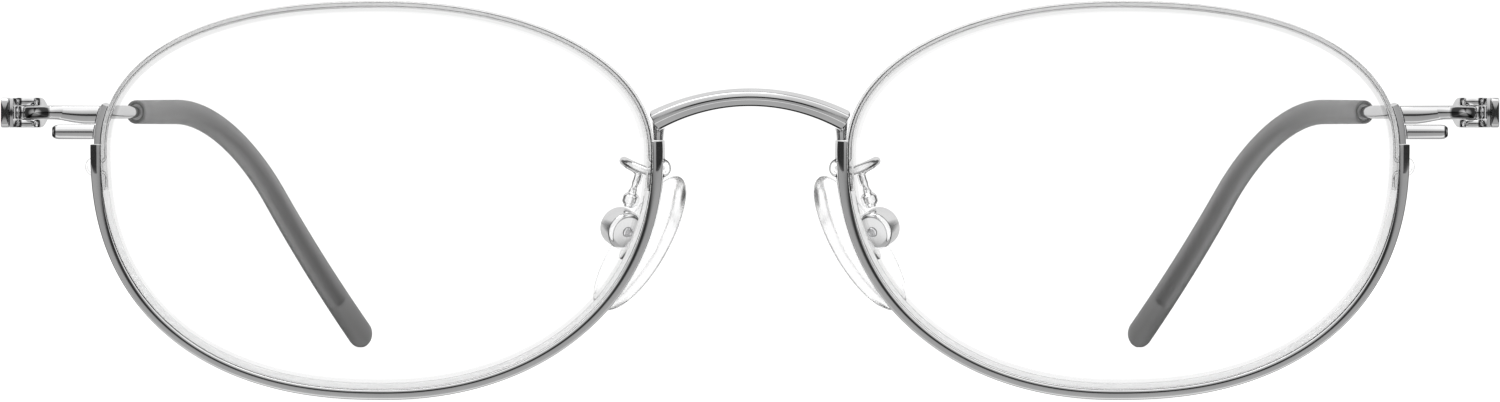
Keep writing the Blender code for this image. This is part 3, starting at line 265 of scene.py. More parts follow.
def makeSweepTree():  # carries a section along a path, its size following the path's radius
    tree = bpy.data.node_groups.new("sectionAlongPath", "GeometryNodeTree")
    inputs = {"Path": "Geometry", "Section": "Object", "Section Size": "Float", "Finish": "Material"}
    for name, kind in inputs.items():
        tree.interface.new_socket(name, in_out="INPUT", socket_type="NodeSocket" + kind)
    tree.interface.new_socket("Mesh", in_out="OUTPUT", socket_type="NodeSocketGeometry")
    new, join = tree.nodes.new, tree.links.new
    given, result = new("NodeGroupInput"), new("NodeGroupOutput")
    section = new("GeometryNodeObjectInfo")
    upright = new("GeometryNodeSetCurveNormal")
    upright.mode = "Z_UP"
    radius = new("GeometryNodeInputRadius")
    size = new("ShaderNodeMath")
    size.operation = "MULTIPLY"
    sweep = new("GeometryNodeCurveToMesh")
    sweep.inputs["Fill Caps"].default_value = True
    real = new("GeometryNodeRealizeInstances")
    finish = new("GeometryNodeSetMaterial")
    join(given.outputs["Path"], upright.inputs["Curve"])
    join(upright.outputs["Curve"], sweep.inputs["Curve"])
    join(given.outputs["Section"], section.inputs["Object"])
    join(section.outputs["Geometry"], sweep.inputs["Profile Curve"])
    join(radius.outputs["Radius"], size.inputs[0])
    join(given.outputs["Section Size"], size.inputs[1])
    join(size.outputs["Value"], sweep.inputs["Scale"])
    join(sweep.outputs["Mesh"], real.inputs["Geometry"])
    join(real.outputs["Geometry"], finish.inputs["Geometry"])
    join(given.outputs["Finish"], finish.inputs["Material"])
    join(finish.outputs["Geometry"], result.inputs["Mesh"])
    return tree


sweepTree = makeSweepTree()


def setInput(modifier, name, value):
    for socket in modifier.node_group.interface.items_tree:
        if socket.name == name and socket.in_out == "INPUT":
            modifier[socket.identifier] = value


def swept(name, path, section, finish, place=None, radii=None):  # section x to the right hand, y upward
    flipped = [Vector((point[0], -point[1])) for point in reversed(section)]
    outline = polyline(name + "Section", flipped, closed=True)
    rail = polyline(name, path, radii)
    modifier = rail.modifiers.new("sweep", "NODES")
    modifier.node_group = sweepTree
    setInput(modifier, "Section", outline)
    setInput(modifier, "Section Size", 1.0)
    setInput(modifier, "Finish", finish)
    piece = applied(rail, place or Matrix.Identity(4))
    bpy.data.objects.remove(outline)
    return piece


def lofted(name, rings, finish, place=None, caps=(True, True)):
    work = bmesh.new()
    rows = [[work.verts.new(point) for point in ring] for ring in rings]
    count = len(rows[0])
    for row, following in zip(rows, rows[1:]):
        for index in range(count):
            after = (index + 1) % count
            work.faces.new((row[index], row[after], following[after], following[index]))
    for row, closed in zip((rows[0], rows[-1]), caps):
        if not closed:
            continue
        middle = work.verts.new(sum((vertex.co for vertex in row), Vector()) / count)
        for index in range(count):
            work.faces.new((row[index], row[(index + 1) % count], middle))
    bmesh.ops.recalc_face_normals(work, faces=work.faces)
    mesh = bpy.data.meshes.new(name)
    work.to_mesh(mesh)
    work.free()
    mesh.transform(place or Matrix.Identity(4))
    mesh.materials.append(finish)
    return linkObject(name, mesh)


def turned(name, profile, finish, place, count=48, caps=(True, True)):  # profile: radius and height
    rings = []
    for radius, height in profile:
        rings.append([Vector((*spot, height)) for spot in circle(radius, count)])
    return lofted(name, rings, finish, place, caps)


def block(name, low, high, finish, place, edge=0.0):
    low, high = Vector(low), Vector(high)
    work = bmesh.new()
    bmesh.ops.create_cube(work, size=1)
    stretch = Matrix.Translation((low + high) / 2) @ Matrix.Diagonal((*(high - low), 1))
    bmesh.ops.transform(work, matrix=stretch, verts=work.verts)
    if edge:
        bmesh.ops.bevel(work, geom=work.edges, offset=edge, segments=3, profile=0.5, affect="EDGES")
    mesh = bpy.data.meshes.new(name)
    work.to_mesh(mesh)
    work.free()
    mesh.transform(place)
    mesh.materials.append(finish)
    return linkObject(name, mesh)


def joined(target, tool, operation):
    modifier = target.modifiers.new("join", "BOOLEAN")
    modifier.operation = operation
    modifier.solver = "EXACT"
    modifier.object = tool
    result = applied(target)
    bpy.data.objects.remove(tool)
    return result


def bored(item, radius, finish, place, count=32, reach=0.003):  # a hole right through, along the place's z
    hole = turned("hole", [(radius, -reach), (radius, reach)], finish, place, count)
    return joined(item, hole, "DIFFERENCE")


def smooth(item, angle=32):
    item.data.shade_smooth()
    item.data.set_sharp_from_angle(angle=math.radians(angle))
    return item


def newFinish(name):
    material = bpy.data.materials.new(name)
    material.use_nodes = True
    return material, material.node_tree.nodes, material.node_tree.links.new


def grain(nodes, join, scale, detail=3.0, stretch=(1, 1, 1)):
    where = nodes.new("ShaderNodeTexCoord")
    mapping = nodes.new("ShaderNodeMapping")
    mapping.inputs["Scale"].default_value = stretch
    noise = nodes.new("ShaderNodeTexNoise")
    noise.inputs["Scale"].default_value = scale
    noise.inputs["Detail"].default_value = detail
    join(where.outputs["Object"], mapping.inputs["Vector"])
    join(mapping.outputs["Vector"], noise.inputs["Vector"])
    return noise.outputs["Fac"]


def spread(nodes, join, source, low, high, start=0.3, end=0.7):
    ranged = nodes.new("ShaderNodeMapRange")
    ranged.inputs["From Min"].default_value = start
    ranged.inputs["From Max"].default_value = end
    ranged.inputs["To Min"].default_value = low
    ranged.inputs["To Max"].default_value = high
    join(source, ranged.inputs["Value"])
    return ranged.outputs["Result"]


def tint(nodes, join, source, stops):
    ramp = nodes.new("ShaderNodeValToRGB")
    while len(ramp.color_ramp.elements) < len(stops):
        ramp.color_ramp.elements.new(0.5)
    for element, (place, value) in zip(ramp.color_ramp.elements, stops):
        element.position = place
        element.color = (*value, 1) if isinstance(value, tuple) else (value, value, value, 1)
    join(source, ramp.inputs["Fac"])
    return ramp.outputs["Color"]


def relief(nodes, join, source, strength, distance):
    bump = nodes.new("ShaderNodeBump")
    bump.inputs["Strength"].default_value = strength
    bump.inputs["Distance"].default_value = distance
    join(source, bump.inputs["Height"])
    return bump.outputs["Normal"]


def makeMetal(name, cloud, tones, roughness, bumps, fine=None):
    material, nodes, join = newFinish(name)
    shader = nodes["Principled BSDF"]
    shader.inputs["Metallic"].default_value = 1.0
    noise = grain(nodes, join, *cloud)
    join(tint(nodes, join, noise, tones), shader.inputs["Base Color"])
    join(spread(nodes, join, noise, *roughness), shader.inputs["Roughness"])
    scratches = grain(nodes, join, *fine) if fine else noise
    join(relief(nodes, join, scratches, *bumps), shader.inputs["Normal"])
    return material


def makeLensClear():
    material, nodes, join = newFinish("lensClear")
    shader = nodes["Principled BSDF"]
    shader.inputs["Transmission Weight"].default_value = 1.0
    shader.inputs["IOR"].default_value = 1.5
    shader.inputs["Roughness"].default_value = 0.0
    # painted shade: the edge attribute greys the clear lens from 1.0 to 0.76 near its edge, standing for the
    # refraction there
    edge = nodes.new("ShaderNodeAttribute")
    edge.attribute_name = "edge"
    join(tint(nodes, join, edge.outputs["Fac"], [(0.0, 1.0), (0.3, 1.0), (0.5, 0.82), (1.0, 0.76)]),
         shader.inputs["Base Color"])
    return material


def makeClear(name, index, cloud, tones, roughness, transmission=1.0, glow=0.0, bumps=None):
    material, nodes, join = newFinish(name)
    shader = nodes["Principled BSDF"]
    shader.inputs["Transmission Weight"].default_value = transmission
    shader.inputs["IOR"].default_value = index
    noise = grain(nodes, join, *cloud)
    join(tint(nodes, join, noise, [(0.3, tones[0]), (0.7, tones[1])]), shader.inputs["Base Color"])
    join(spread(nodes, join, noise, *roughness), shader.inputs["Roughness"])
    if glow:
        shader.inputs["Emission Color"].default_value = (1, 1, 1, 1)
        shader.inputs["Emission Strength"].default_value = glow
    if bumps:
        join(relief(nodes, join, noise, *bumps), shader.inputs["Normal"])
    return material


def makeSmoke():
    material, nodes, join = newFinish("smokeAcetate")
    shader = nodes["Principled BSDF"]
    shader.inputs["IOR"].default_value = 1.49
    shader.inputs["Transmission Weight"].default_value = 1.0
    along = nodes.new("ShaderNodeAttribute")
    along.attribute_name = "along"
    # the first stop is painted shade: it paints the sleeve's throat near black inside the mouth; past the lip
    # the tone darkens towards the tip
    stops = [(0.0, 0.04), (0.025, 0.54), (0.4, 0.44), (0.8, 0.26), (1.0, 0.15)]
    join(tint(nodes, join, along.outputs["Fac"], stops), shader.inputs["Base Color"])
    depth = nodes.new("ShaderNodeVolumeAbsorption")
    depth.inputs["Color"].default_value = (0, 0, 0, 1)
    depth.inputs["Density"].default_value = 230.0  # per metre: the plastic's middle is darker than its edges
    join(depth.outputs["Volume"], nodes["Material Output"].inputs["Volume"])
    cloud = grain(nodes, join, 700, 4)
    join(spread(nodes, join, cloud, 0.31, 0.42), shader.inputs["Roughness"])
    join(relief(nodes, join, cloud, 0.04, 0.00002), shader.inputs["Normal"])
    return material


tones = [(0.35, (0.80, 0.80, 0.805)), (0.65, (0.86, 0.86, 0.862))]
silver = makeMetal("polishedSilver", (260, 4), tones, (0.045, 0.085), (0.03, 0.00001), (5200, 2))
tones = [(0.3, (0.58, 0.58, 0.59)), (0.7, (0.70, 0.70, 0.71))]
screwSteel = makeMetal("screwSteel", (3000, 3, (1, 1, 6)), tones, (0.16, 0.28), (0.12, 0.00002))
lensClear, smoke = makeLensClear(), makeSmoke()
nylon = makeClear("clearNylon", 1.53, (900, 3), (0.93, 0.98), (0.03, 0.12))
insert = makeClear("clearInsert", 1.58, (900, 2), (0.93, 0.98), (0.05, 0.12))
silicone = makeClear("clearSilicone", 1.36, (420, 3), (0.955, 0.99), (0.10, 0.22), bumps=(0.10, 0.0001))
liner = makeClear(  # its glow stands for the light that scatters inside it
    "whiteLiner", 1.46, (1400, 2), (0.95, 0.99), (0.5, 0.62), transmission=0.35, glow=0.3,
)
print("finishes made")


def makeLens():
    count = 240
    dense = [outlineSpot(2 * math.pi * step / 2400)[0] for step in range(2401)]
    flats = evenRun(dense, count + 1)[:-1]
    tangents = [flats[(index + 1) % count] - flats[index - 1] for index in range(count)]
    normals = [Vector((tangent.y, -tangent.x)).normalized() for tangent in tangents]
    lip, bevel = (lens["thickness"] - lens["grooveWidth"]) / 2, lens["bevel"]

    def faceRing(share, inward, back):
        points = []
        for flat, normal in zip(flats, normals):
            spot = widest + (flat - widest) * share - normal * inward
            points.append(Vector((spot.x, lensDepth(*spot) + back, spot.y)))
        return points

    def wallRing(inward, back):
        points = []
        for flat, normal in zip(flats, normals):
            spot = flat - normal * inward
            points.append(Vector((spot.x, lensDepth(*flat) + back, spot.y)))
        return points

    def face(back):
        rings = [faceRing(share, 0, back) for share in lens["shares"]]
        return rings + [faceRing(1, inset, back) for inset in lens["insets"]]

    thick = lens["thickness"]
    wall = [
        faceRing(1, bevel, 0), wallRing(bevel * 0.3, bevel * 0.3), wallRing(0, bevel),
        wallRing(0, lip), wallRing(lens["grooveDepth"], lip),
        wallRing(lens["grooveDepth"], thick - lip), wallRing(0, thick - lip),
        wallRing(0, thick - bevel), wallRing(bevel * 0.3, thick - bevel * 0.3), faceRing(1, bevel, thick),
    ]
    piece = lofted("left_lens_blank", face(0) + wall + face(thick)[::-1], lensClear)
    # painted shade: each ring's edge value, 0 on the faces, rising near the edge and 1 over the wall
    faceEdgeShade = [0.0] * len(lens["shares"]) + list(lens["edgeShadeTones"])
    edge = piece.data.attributes.new("edge", "FLOAT", "POINT")
    for index, tone in enumerate(faceEdgeShade + [1.0] * len(wall) + faceEdgeShade[::-1]):
        for number in range(count):
            edge.data[index * count + number].value = tone
    piece.data.transform(lensTurn)
    return smooth(piece)


def holeAngles():
    upperNasal = rim["nasalEnd"] - cord["belowNasal"]
    upperTemporal = rim["temporalEnd"] - cord["belowTemporal"]
    drops = (0, cord["pitch"])
    nasal = [angleAt(upperNasal - drop, True) for drop in drops]
    temporal = [angleAt(upperTemporal - drop, False) for drop in drops]
    return nasal, temporal


def rimAngles():
    return angleAt(rim["nasalEnd"], True) - 2 * math.pi, angleAt(rim["temporalEnd"], False)


def makeRim():
    width, depth = rim["width"], rim["depth"]
    half, channel = width / 2, lens["grooveWidth"] / 2
    bar = crownedBar(width, depth, rim["corner"], rim["crown"])
    notch = [(-half, channel), (-half + rim["channel"], channel), (-half + rim["channel"], -channel),
             (-half, -channel)]
    section = bar + [Vector(spot) for spot in notch]
    start, end = rimAngles()
    middle = restGap + half
    path = edgeRun(start, end, middle, 300)
    piece = swept("left_rim_wire", path, section, silver, sweepTurn)
    nasal, temporal = holeAngles()
    radius = cord["diameter"] / 2 + fitGap
    for angle in nasal + temporal:
        normal = outlineSpot(angle)[1]
        spot = sweepTurn @ edgeSpot(angle, middle)
        direction = lensTurn.to_3x3() @ Vector((normal.x, 0, normal.y))
        turn = direction.to_track_quat("Z", "Y").to_matrix().to_4x4()
        piece = bored(piece, radius, silver, Matrix.Translation(spot) @ turn, 24, width * 1.5)
    for nasalSide, level in ((True, rim["nasalEnd"]), (False, rim["temporalEnd"])):
        face = edgeSpot(angleAt(level - rim["flatLength"], nasalSide), middle) + upAxis * depth / 2
        upright = Matrix.Translation(sweepTurn @ face) @ Matrix.Rotation(math.radians(lens["wrap"]), 4, "Z")
        outward = -1 if nasalSide else 1
        low, high = sorted((-outward * width * rim["flatInner"], outward * width * 2))
        tool = block("endFlat", (low, -depth, -0.0002), (high, rim["flatDepth"], depth * 2), silver, upright)
        piece = joined(piece, tool, "DIFFERENCE")
    return smooth(piece)


def makeLinerStrip():
    top = restGap + rim["channel"] - fitGap
    bottom = -lens["grooveDepth"] + fitGap
    across, tall = (top - bottom) / 2, strip["height"] / 2
    corners = [(across, tall), (-across, tall), (-across, -tall), (across, -tall)]
    section = roundOff(corners, [strip["corner"]] * 4)
    tailEnd = cord["pitch"] + cord["diameter"] + cord["tail"]
    start = angleAt(rim["nasalEnd"] - cord["belowNasal"] - tailEnd, True) - 2 * math.pi
    end = angleAt(rim["temporalEnd"] - cord["belowTemporal"] - tailEnd, False)
    path = edgeRun(start, end, (top + bottom) / 2, 220)
    return smooth(swept("left_liner_strip", path, section, liner, sweepTurn))


def cordLoop(upperAngle, lowerAngle):  # out through the upper hole, round, back in, and a short tail
    seat = -lens["grooveDepth"] + cord["diameter"] / 2 + fitGap
    upper, lower = edgeSpot(upperAngle), edgeSpot(lowerAngle)
    down = (lower - upper).normalized()
    normal = outlineSpot((upperAngle + lowerAngle) / 2)[1]
    out = Vector((normal.x, normal.y, 0))
    corner = cord["bend"]
    loopRadius = (lower - upper).length / 2
    loopReach = restGap + rim["width"] + cord["diameter"] * 0.65
    loopCentre = (upper + lower) / 2 + out * (loopReach - loopRadius)

    def bendSpot(hole, way, swing):  # on the quarter turn between the groove and a hole
        along = corner - corner * math.sin(swing)
        return hole + down * along * way + out * (seat + corner - corner * math.cos(swing))

    quarter = [math.radians(turn) for turn in range(0, 91, 10)]
    points = [bendSpot(upper, -1, swing) for swing in quarter]
    for turn in range(0, 181, 9):
        swing = math.radians(turn)
        points.append(loopCentre - down * loopRadius * math.cos(swing) + out * loopRadius * math.sin(swing))
    points += [bendSpot(lower, 1, swing) for swing in reversed(quarter)]
    points.append(points[-1] + down * cord["tail"])
    return points


def makeCord():
    nasal, temporal = holeAngles()
    seat = -lens["grooveDepth"] + cord["diameter"] / 2 + fitGap
    approach = cord["bend"] + cord["diameter"]
    start = angleAt(rim["temporalEnd"] - cord["belowTemporal"] + approach, False)
    end = angleAt(rim["nasalEnd"] - cord["belowNasal"] + approach, True)
    path = cordLoop(*temporal)[::-1] + edgeRun(start, end, seat, 240) + cordLoop(*nasal)
    return smooth(swept("left_cord_line", path, circle(cord["diameter"] / 2, 16), nylon, sweepTurn), 60)


bridge = {
    "halfSpan": 0.0088, "aboveMiddle": 0.010072, "rise": 0.00202, "height": 0.00165, "depth": 0.0022,
    "bulge": 0.0008, "endChamfer": 0.00012, "endGrowth": 0.16, "endSizes": (0.92, 0.97),
}
foot = {
    "lower": 0.00046, "upper": 0.00085, "flare": 1.6, "lean": 0.00024, "pitRadius": 0.45, "pitLevel": 0.32,
}
bridgeTop = lensMiddle.z + bridge["aboveMiddle"]
rimEnd = sweepTurn @ edgeSpot(rimAngles()[0], restGap + rim["width"] / 2)


def bridgeSpot(share):  # share runs from -1 to 1 across the nose, in the world
    radius = (bridge["halfSpan"] ** 2 + bridge["rise"] ** 2) / (2 * bridge["rise"])
    swing = math.asin(bridge["halfSpan"] / radius) * share
    endDepth = rimEnd.y - (bridge["depth"] - rim["depth"])
    drop = bridge["height"] / 2 * (1 + bridge["endGrowth"] * share ** 2)
    return Vector((
        radius * math.sin(swing),
        endDepth - bridge["bulge"] * (1 - share ** 2),
        bridgeTop - drop - radius * (1 - math.cos(swing)),
    ))


def bridgeSection(grow=0.0):
    half, deep = bridge["height"] / 2 + grow, bridge["depth"] / 2 + grow
    corners = [
        (half * 0.80, -deep), (half, -deep * 0.70), (half, deep * 0.38), (half * 0.80, deep * 0.72),
        (half * 0.30, deep * 0.950), (half * 0.06, deep * 0.964), (-half * 0.10, deep * 0.964),
        (-half * 0.55, deep * 0.930), (-half * 0.86, deep * 0.58), (-half, deep * 0.05),
        (-half, -deep * 0.70), (-half * 0.80, -deep),
    ]
    radii = [0.0001, 0.0001, 0.0002, 0.0003, 0.00025, 0.0001, 0.0001, 0.0002, 0.0002, 0.0003, 0.0001, 0.0001]
    return roundOff(corners, radii, 6)


def bridgePath(count):
    path = [bridgeSpot(-1 + 2 * step / (count - 1)) for step in range(count)]
    chamfer = bridge["endChamfer"]
    start = (path[1] - path[0]).normalized()
    end = (path[-1] - path[-2]).normalized()
    inner = [path[0] + start * chamfer * 0.4, path[0] + start * chamfer]
    outer = [path[-1] - end * chamfer, path[-1] - end * chamfer * 0.4]
    return [path[0], *inner, *path[1:-1], *outer, path[-1]]


def bridgeSizes(path):  # the bar grows a little taller towards its ends
    return [1 + bridge["endGrowth"] * min(1, abs(point.x) / bridge["halfSpan"]) ** 2 for point in path]


def toSweep(points):  # world points into the upright sweep frame, whose z looks to the front
    return [frontPlane.inverted() @ point for point in points]


def makeBridge():
    path = bridgePath(97)
    radii = bridgeSizes(path)
    for index, size in enumerate(bridge["endSizes"]):
        radii[index] *= size
        radii[-1 - index] *= size
    return smooth(swept("bridge_bar", toSweep(path), bridgeSection(), silver, frontPlane, radii), 26)


def makeFoot():
    bottom = rimEnd.z + restGap
    top = bridgeTop - bridge["rise"]
    deep = rim["depth"] / (foot["upper"] + foot["lower"])
    rings = []
    for step in range(15):
        share = step / 14
        radius = mixed(foot["lower"], foot["upper"], share ** foot["flare"])
        centre = Vector((rimEnd.x - foot["lean"] * share ** 2, rimEnd.y, mixed(bottom, top, share)))
        rings.append([centre + Vector((x * radius, y * radius * deep, 0)) for x, y in circle(1, 40)])
    web = lofted("left_foot_web", rings, silver)
    path = bridgePath(65)
    room = swept("bridgeRoom", toSweep(path), bridgeSection(fitGap), silver, frontPlane, bridgeSizes(path))
    web = joined(web, room, "DIFFERENCE")
    across = Matrix.Translation((rimEnd.x, rimEnd.y, mixed(bottom, top, foot["pitLevel"]))) @ frontPlane
    radius = foot["lower"] * foot["pitRadius"]
    pit = turned("pit", [(radius * 0.2, 0.0002), (radius, 0.0004), (radius, 0.002)], silver, across, 24)
    return smooth(joined(web, pit, "DIFFERENCE"))


endPiece = {
    "lugWidth": 0.0006, "lugTop": 0.0082, "barHeight": 0.00165, "barThickness": 0.0013, "barLength": 0.0054,
    "trimHeight": 0.00135, "trimThickness": 0.0012, "trimLength": 0.0052, "cutterExtra": 0.0020,
    "tongueSizes": (0.7, 0.96), "trimEnd": (0.995, 0.985, 0.965, 0.935, 0.89, 0.83, 0.75, 0.64),
}


def makeLug():
    width = endPiece["lugWidth"]
    section = crownedBar(width, rim["depth"], 0.0001, 10)
    start = angleAt(rim["temporalEnd"] + restGap, False)
    path = edgeRun(start, angleAt(endPiece["lugTop"], False), restGap + width / 2, 40)
    return smooth(swept("left_lug_strip", path, section, silver, sweepTurn))


def lugRoom():
    width = endPiece["lugWidth"] + restGap + endPiece["cutterExtra"]
    middle = restGap + endPiece["lugWidth"] + fitGap - width / 2
    half, deep = width / 2, rim["depth"] * 1.5
    section = [Vector(spot) for spot in ((half, deep), (-half, deep), (-half, -deep), (half, -deep))]
    start = angleAt(rim["temporalEnd"] - endPiece["cutterExtra"], False)
    end = angleAt(endPiece["lugTop"] + endPiece["cutterExtra"], False)
    return swept("lugRoom", edgeRun(start, end, middle, 60), section, silver, sweepTurn)


def barAnchors():
    root = sweepTurn @ edgeSpot(angleAt(hinge["aboveMiddle"], False))
    thick, length, radius = endPiece["barThickness"], endPiece["barLength"], hinge["radius"]
    return [
        Vector((root.x - endPiece["lugWidth"], root.y - thick / 2, 0)),
        Vector((root.x + length * 0.5, root.y - thick * 0.35, 0)),
        Vector((root.x + length, root.y + thick * 0.05, 0)),
        Vector((hingeSpot.x - radius * 0.35, hingeSpot.y - radius * 1.9, 0)),
        Vector((hingeSpot.x, hingeSpot.y - radius * 0.6, 0)),
    ]


def barSection(thick, height, corner, crown=16):  # x towards the front as the path runs outward, y up
    return [Vector((point.y, -point.x)) for point in crownedBar(height, thick, corner, crown)]


barLevel = hingeSpot.z - (endPiece["barHeight"] - hinge["middleHeight"]) / 2


def makeEndBar():
    anchors = barAnchors()
    thick, middle = endPiece["barThickness"], hinge["middleHeight"]
    path, radii = [], []
    for step, spot in enumerate(smoothRun(anchors[:3], 60)):
        rise = eased(max(0, step - 24) / 35)  # the bar narrows and rises to the middle knuckle
        path.append(spot + upAxis * (hingeSpot.z - barLevel) * rise)
        radii.append(1 - (1 - middle / endPiece["barHeight"]) * rise)
    section = barSection(thick, endPiece["barHeight"], 0.00022)
    bar = swept("left_end_bar", path, section, silver, Matrix.Translation((0, 0, barLevel)), radii)
    wide, tall = endPiece["tongueSizes"]
    section = barSection(thick * wide, middle * tall, 0.00016)
    level = Matrix.Translation((0, 0, hingeSpot.z))
    bar = joined(bar, swept("tongue", smoothRun(anchors[1:], 70), section, silver, level), "UNION")
    place = Matrix.Translation(hingeSpot)
    knuckle = turned("knuckle", drum(hinge["radius"], -middle / 2, middle / 2), silver, place)
    bar = joined(bar, knuckle, "UNION")
    bar = joined(bar, lugRoom(), "DIFFERENCE")
    return smooth(bored(bar, hinge["screwRadius"] + fitGap, silver, place))


def makeTrimBar():
    level = barLevel - endPiece["barHeight"] / 2 - restGap - endPiece["trimHeight"] / 2
    anchors = barAnchors()
    tip = anchors[1].lerp(anchors[2], (endPiece["trimLength"] / endPiece["barLength"] - 0.5) * 2)
    path = smoothRun([anchors[0] + outAxis * endPiece["lugWidth"], anchors[1], tip], 60)
    radii = [1.0] * 52 + list(endPiece["trimEnd"])
    section = barSection(endPiece["trimThickness"], endPiece["trimHeight"], 0.0002, 22)
    trim = swept("left_trim_bar", path, section, silver, Matrix.Translation((0, 0, level)), radii)
    return smooth(joined(trim, lugRoom(), "DIFFERENCE"))


temple = {
    "toeIn": 3.3, "offset": 0.0017, "buttThickness": 0.0008, "buttLength": 0.0190, "lead": 0.0010,
    "taper": 0.0012, "wireWidth": 0.0011, "wireHeight": 0.0014, "core": 0.0011, "coreTaper": 0.0040,
    "sweepStart": 0.0566, "sweepRadius": 0.123, "bendStart": 0.0853, "bendRadius": 0.0323, "bendAngle": 45.0,
}
sleeve = {
    "start": 0.0720, "widthMouth": 0.0021, "heightMouth": 0.0025, "widthTip": 0.0025, "heightTip": 0.0031,
    "lip": 0.00025, "lipLength": 0.0006, "mouthLength": 0.0015, "solidTip": 0.0070,
}
bendAngle = math.radians(temple["bendAngle"])
templePlace = Matrix.Translation(hingeSpot) @ Matrix.Rotation(math.radians(temple["toeIn"]), 4, "Z")


def makeLeaf():
    half, radius, thick = hinge["height"] / 2, hinge["radius"], hinge["leafThickness"]
    inner, outer = hinge["middleHeight"] / 2 + fitGap, temple["offset"] - fitGap
    low, high = (outer - thick, -temple["lead"] + fitGap, -half), (outer, hinge["leafLength"], half)
    leaf = block("left_hinge_leaf", low, high, silver, templePlace, 0.00006)
    for bottom, top in ((inner, half), (-half, -inner)):
        low, high = (0, -radius * 0.6, bottom), (outer - thick / 2, radius * 0.98, top)
        leaf = joined(leaf, block("ear", low, high, silver, templePlace, 0.00004), "UNION")
        leaf = joined(leaf, turned("knuckle", drum(radius, bottom, top), silver, templePlace), "UNION")
    leaf = bored(leaf, hinge["screwRadius"] + fitGap, silver, templePlace)
    seat, depth = hinge["headRadius"] + fitGap, hinge["headHeight"] + fitGap
    sink = turned("sink", [(seat, half - depth), (seat, half + depth)], silver, templePlace, 32)
    return smooth(joined(leaf, sink, "DIFFERENCE"))


def makeHingeScrew():
    half = hinge["height"] / 2
    bottom = half - hinge["headHeight"]
    shank, head = hinge["screwRadius"], hinge["headRadius"]
    profile = [
        (shank * 0.7, -half), (shank * 0.92, -half + 0.00005), (shank, -half + 0.00014), (shank, bottom),
        (head * 0.97, bottom), (head, bottom + 0.00004), (head, half - 0.00012),
        (head * 0.94, half - 0.00004), (head * 0.8, half - 0.00001), (head * 0.4, half),
    ]
    screw = turned("left_hinge_pin", profile, screwSteel, Matrix.Translation(hingeSpot))
    slot = head * 0.15
    low, high = (-0.002, -slot, half - hinge["headHeight"] / 2), (0.002, slot, half + 0.001)
    tool = block("slot", low, high, screwSteel, Matrix.Translation(hingeSpot))
    return smooth(joined(screw, tool, "DIFFERENCE"))


def legLength():
    drop = temple["bendRadius"] * (1 - math.cos(bendAngle))
    endHeight = sleeve["heightTip"] / 2 * (1 - math.sin(bendAngle))
    level = halfHeightOverTable + hinge["aboveMiddle"]
    return (level - drop - endHeight) / math.sin(bendAngle)


tilted = math.radians(lens["tilt"])
rimFront = (lens["thickness"] - rim["depth"]) / 2 + rim["frontCorner"]
lowestDepth = lensDepth(0, halfHeight) + rimFront
rimReach = halfHeight + restGap + rim["width"]
halfHeightOverTable = rimReach * math.cos(tilted) - lowestDepth * math.sin(tilted)
bendEnd = temple["bendStart"] + temple["bendRadius"] * bendAngle
templeLength = bendEnd + legLength()


def templeSpot(distance):
    if distance <= temple["bendStart"]:
        along, drop = distance, 0
    else:
        swing = (min(distance, bendEnd) - temple["bendStart"]) / temple["bendRadius"]
        rest = max(0, distance - bendEnd)
        along = temple["bendStart"] + temple["bendRadius"] * math.sin(swing) + rest * math.cos(bendAngle)
        drop = temple["bendRadius"] * (1 - math.cos(swing)) + rest * math.sin(bendAngle)
    inward = max(0, along - temple["sweepStart"]) ** 2 / (2 * temple["sweepRadius"])
    return Vector((temple["offset"] + temple["buttThickness"] / 2 - inward, along, -drop))


def templeRing(distance, width, height, roundness, count=40):
    tangent = (templeSpot(distance + 0.0005) - templeSpot(distance - 0.0005)).normalized()
    side = tangent.cross(upAxis).normalized()
    upward = side.cross(tangent).normalized()
    ring = []
    for index in range(count):
        angle = 2 * math.pi * (index + 0.5) / count
        x = signedPower(math.cos(angle), 2 / roundness) * width / 2
        z = signedPower(math.sin(angle), 2 / roundness) * height / 2
        ring.append(templePlace @ (templeSpot(distance) + side * x + upward * z))
    return ring


def stations(start, end, step):
    count = max(1, round((end - start) / step))
    return [start + (end - start) * number / count for number in range(count + 1)]


def between(first, last, count, shape=float):  # rings on the way from one size to another
    rings = []
    for step in range(1, count + 1):
        share = step / count
        sizes = [mixed(*pair, shape(share)) for pair in zip(first[1:], last[1:])]
        rings.append((mixed(first[0], last[0], share), *sizes))
    return rings


def makeTempleWire():
    thick, tall, lead = temple["buttThickness"], hinge["height"], temple["lead"] / 3
    placed = [(-temple["lead"], thick * 0.8, tall - 2 * lead, 10)]
    for turn in range(15, 91, 15):
        swing = math.radians(turn)
        width = thick * (0.8 + 0.2 * math.sin(swing))
        height = tall - 2 * lead * (1 - math.sin(swing))
        placed.append((-temple["lead"] + lead * (1 - math.cos(swing)), width, height, 10))
    buttEnd = temple["buttLength"] - temple["taper"]
    placed += [(distance, thick, tall, 10) for distance in stations(0, buttEnd, 0.0010)]
    wire = (temple["wireWidth"], temple["wireHeight"], 2.4)
    core = (temple["core"], temple["core"], 2.0)
    wireStart = temple["buttLength"] + temple["taper"] * 1.5
    placed += between((buttEnd, thick, tall, 10), (wireStart, *wire), 12, eased)
    taperStart, taperEnd = sleeve["start"] - temple["coreTaper"], sleeve["start"] + temple["coreTaper"]
    placed += [(distance, *wire) for distance in stations(wireStart, taperStart, 0.0011)[1:]]
    placed += between((taperStart, *wire), (taperEnd, *core), 8)
    coreEnd = templeLength - sleeve["solidTip"] - restGap
    placed += [(distance, *core) for distance in stations(taperEnd, coreEnd - 0.0003, 0.0011)[1:]]
    for back, size in ((0.0001, 0.85), (0, 0.6)):
        placed.append((coreEnd - back, temple["core"] * size, temple["core"] * size, 2.0))
    return smooth(lofted("left_temple_bar", [templeRing(*ring) for ring in placed], silver), 24)


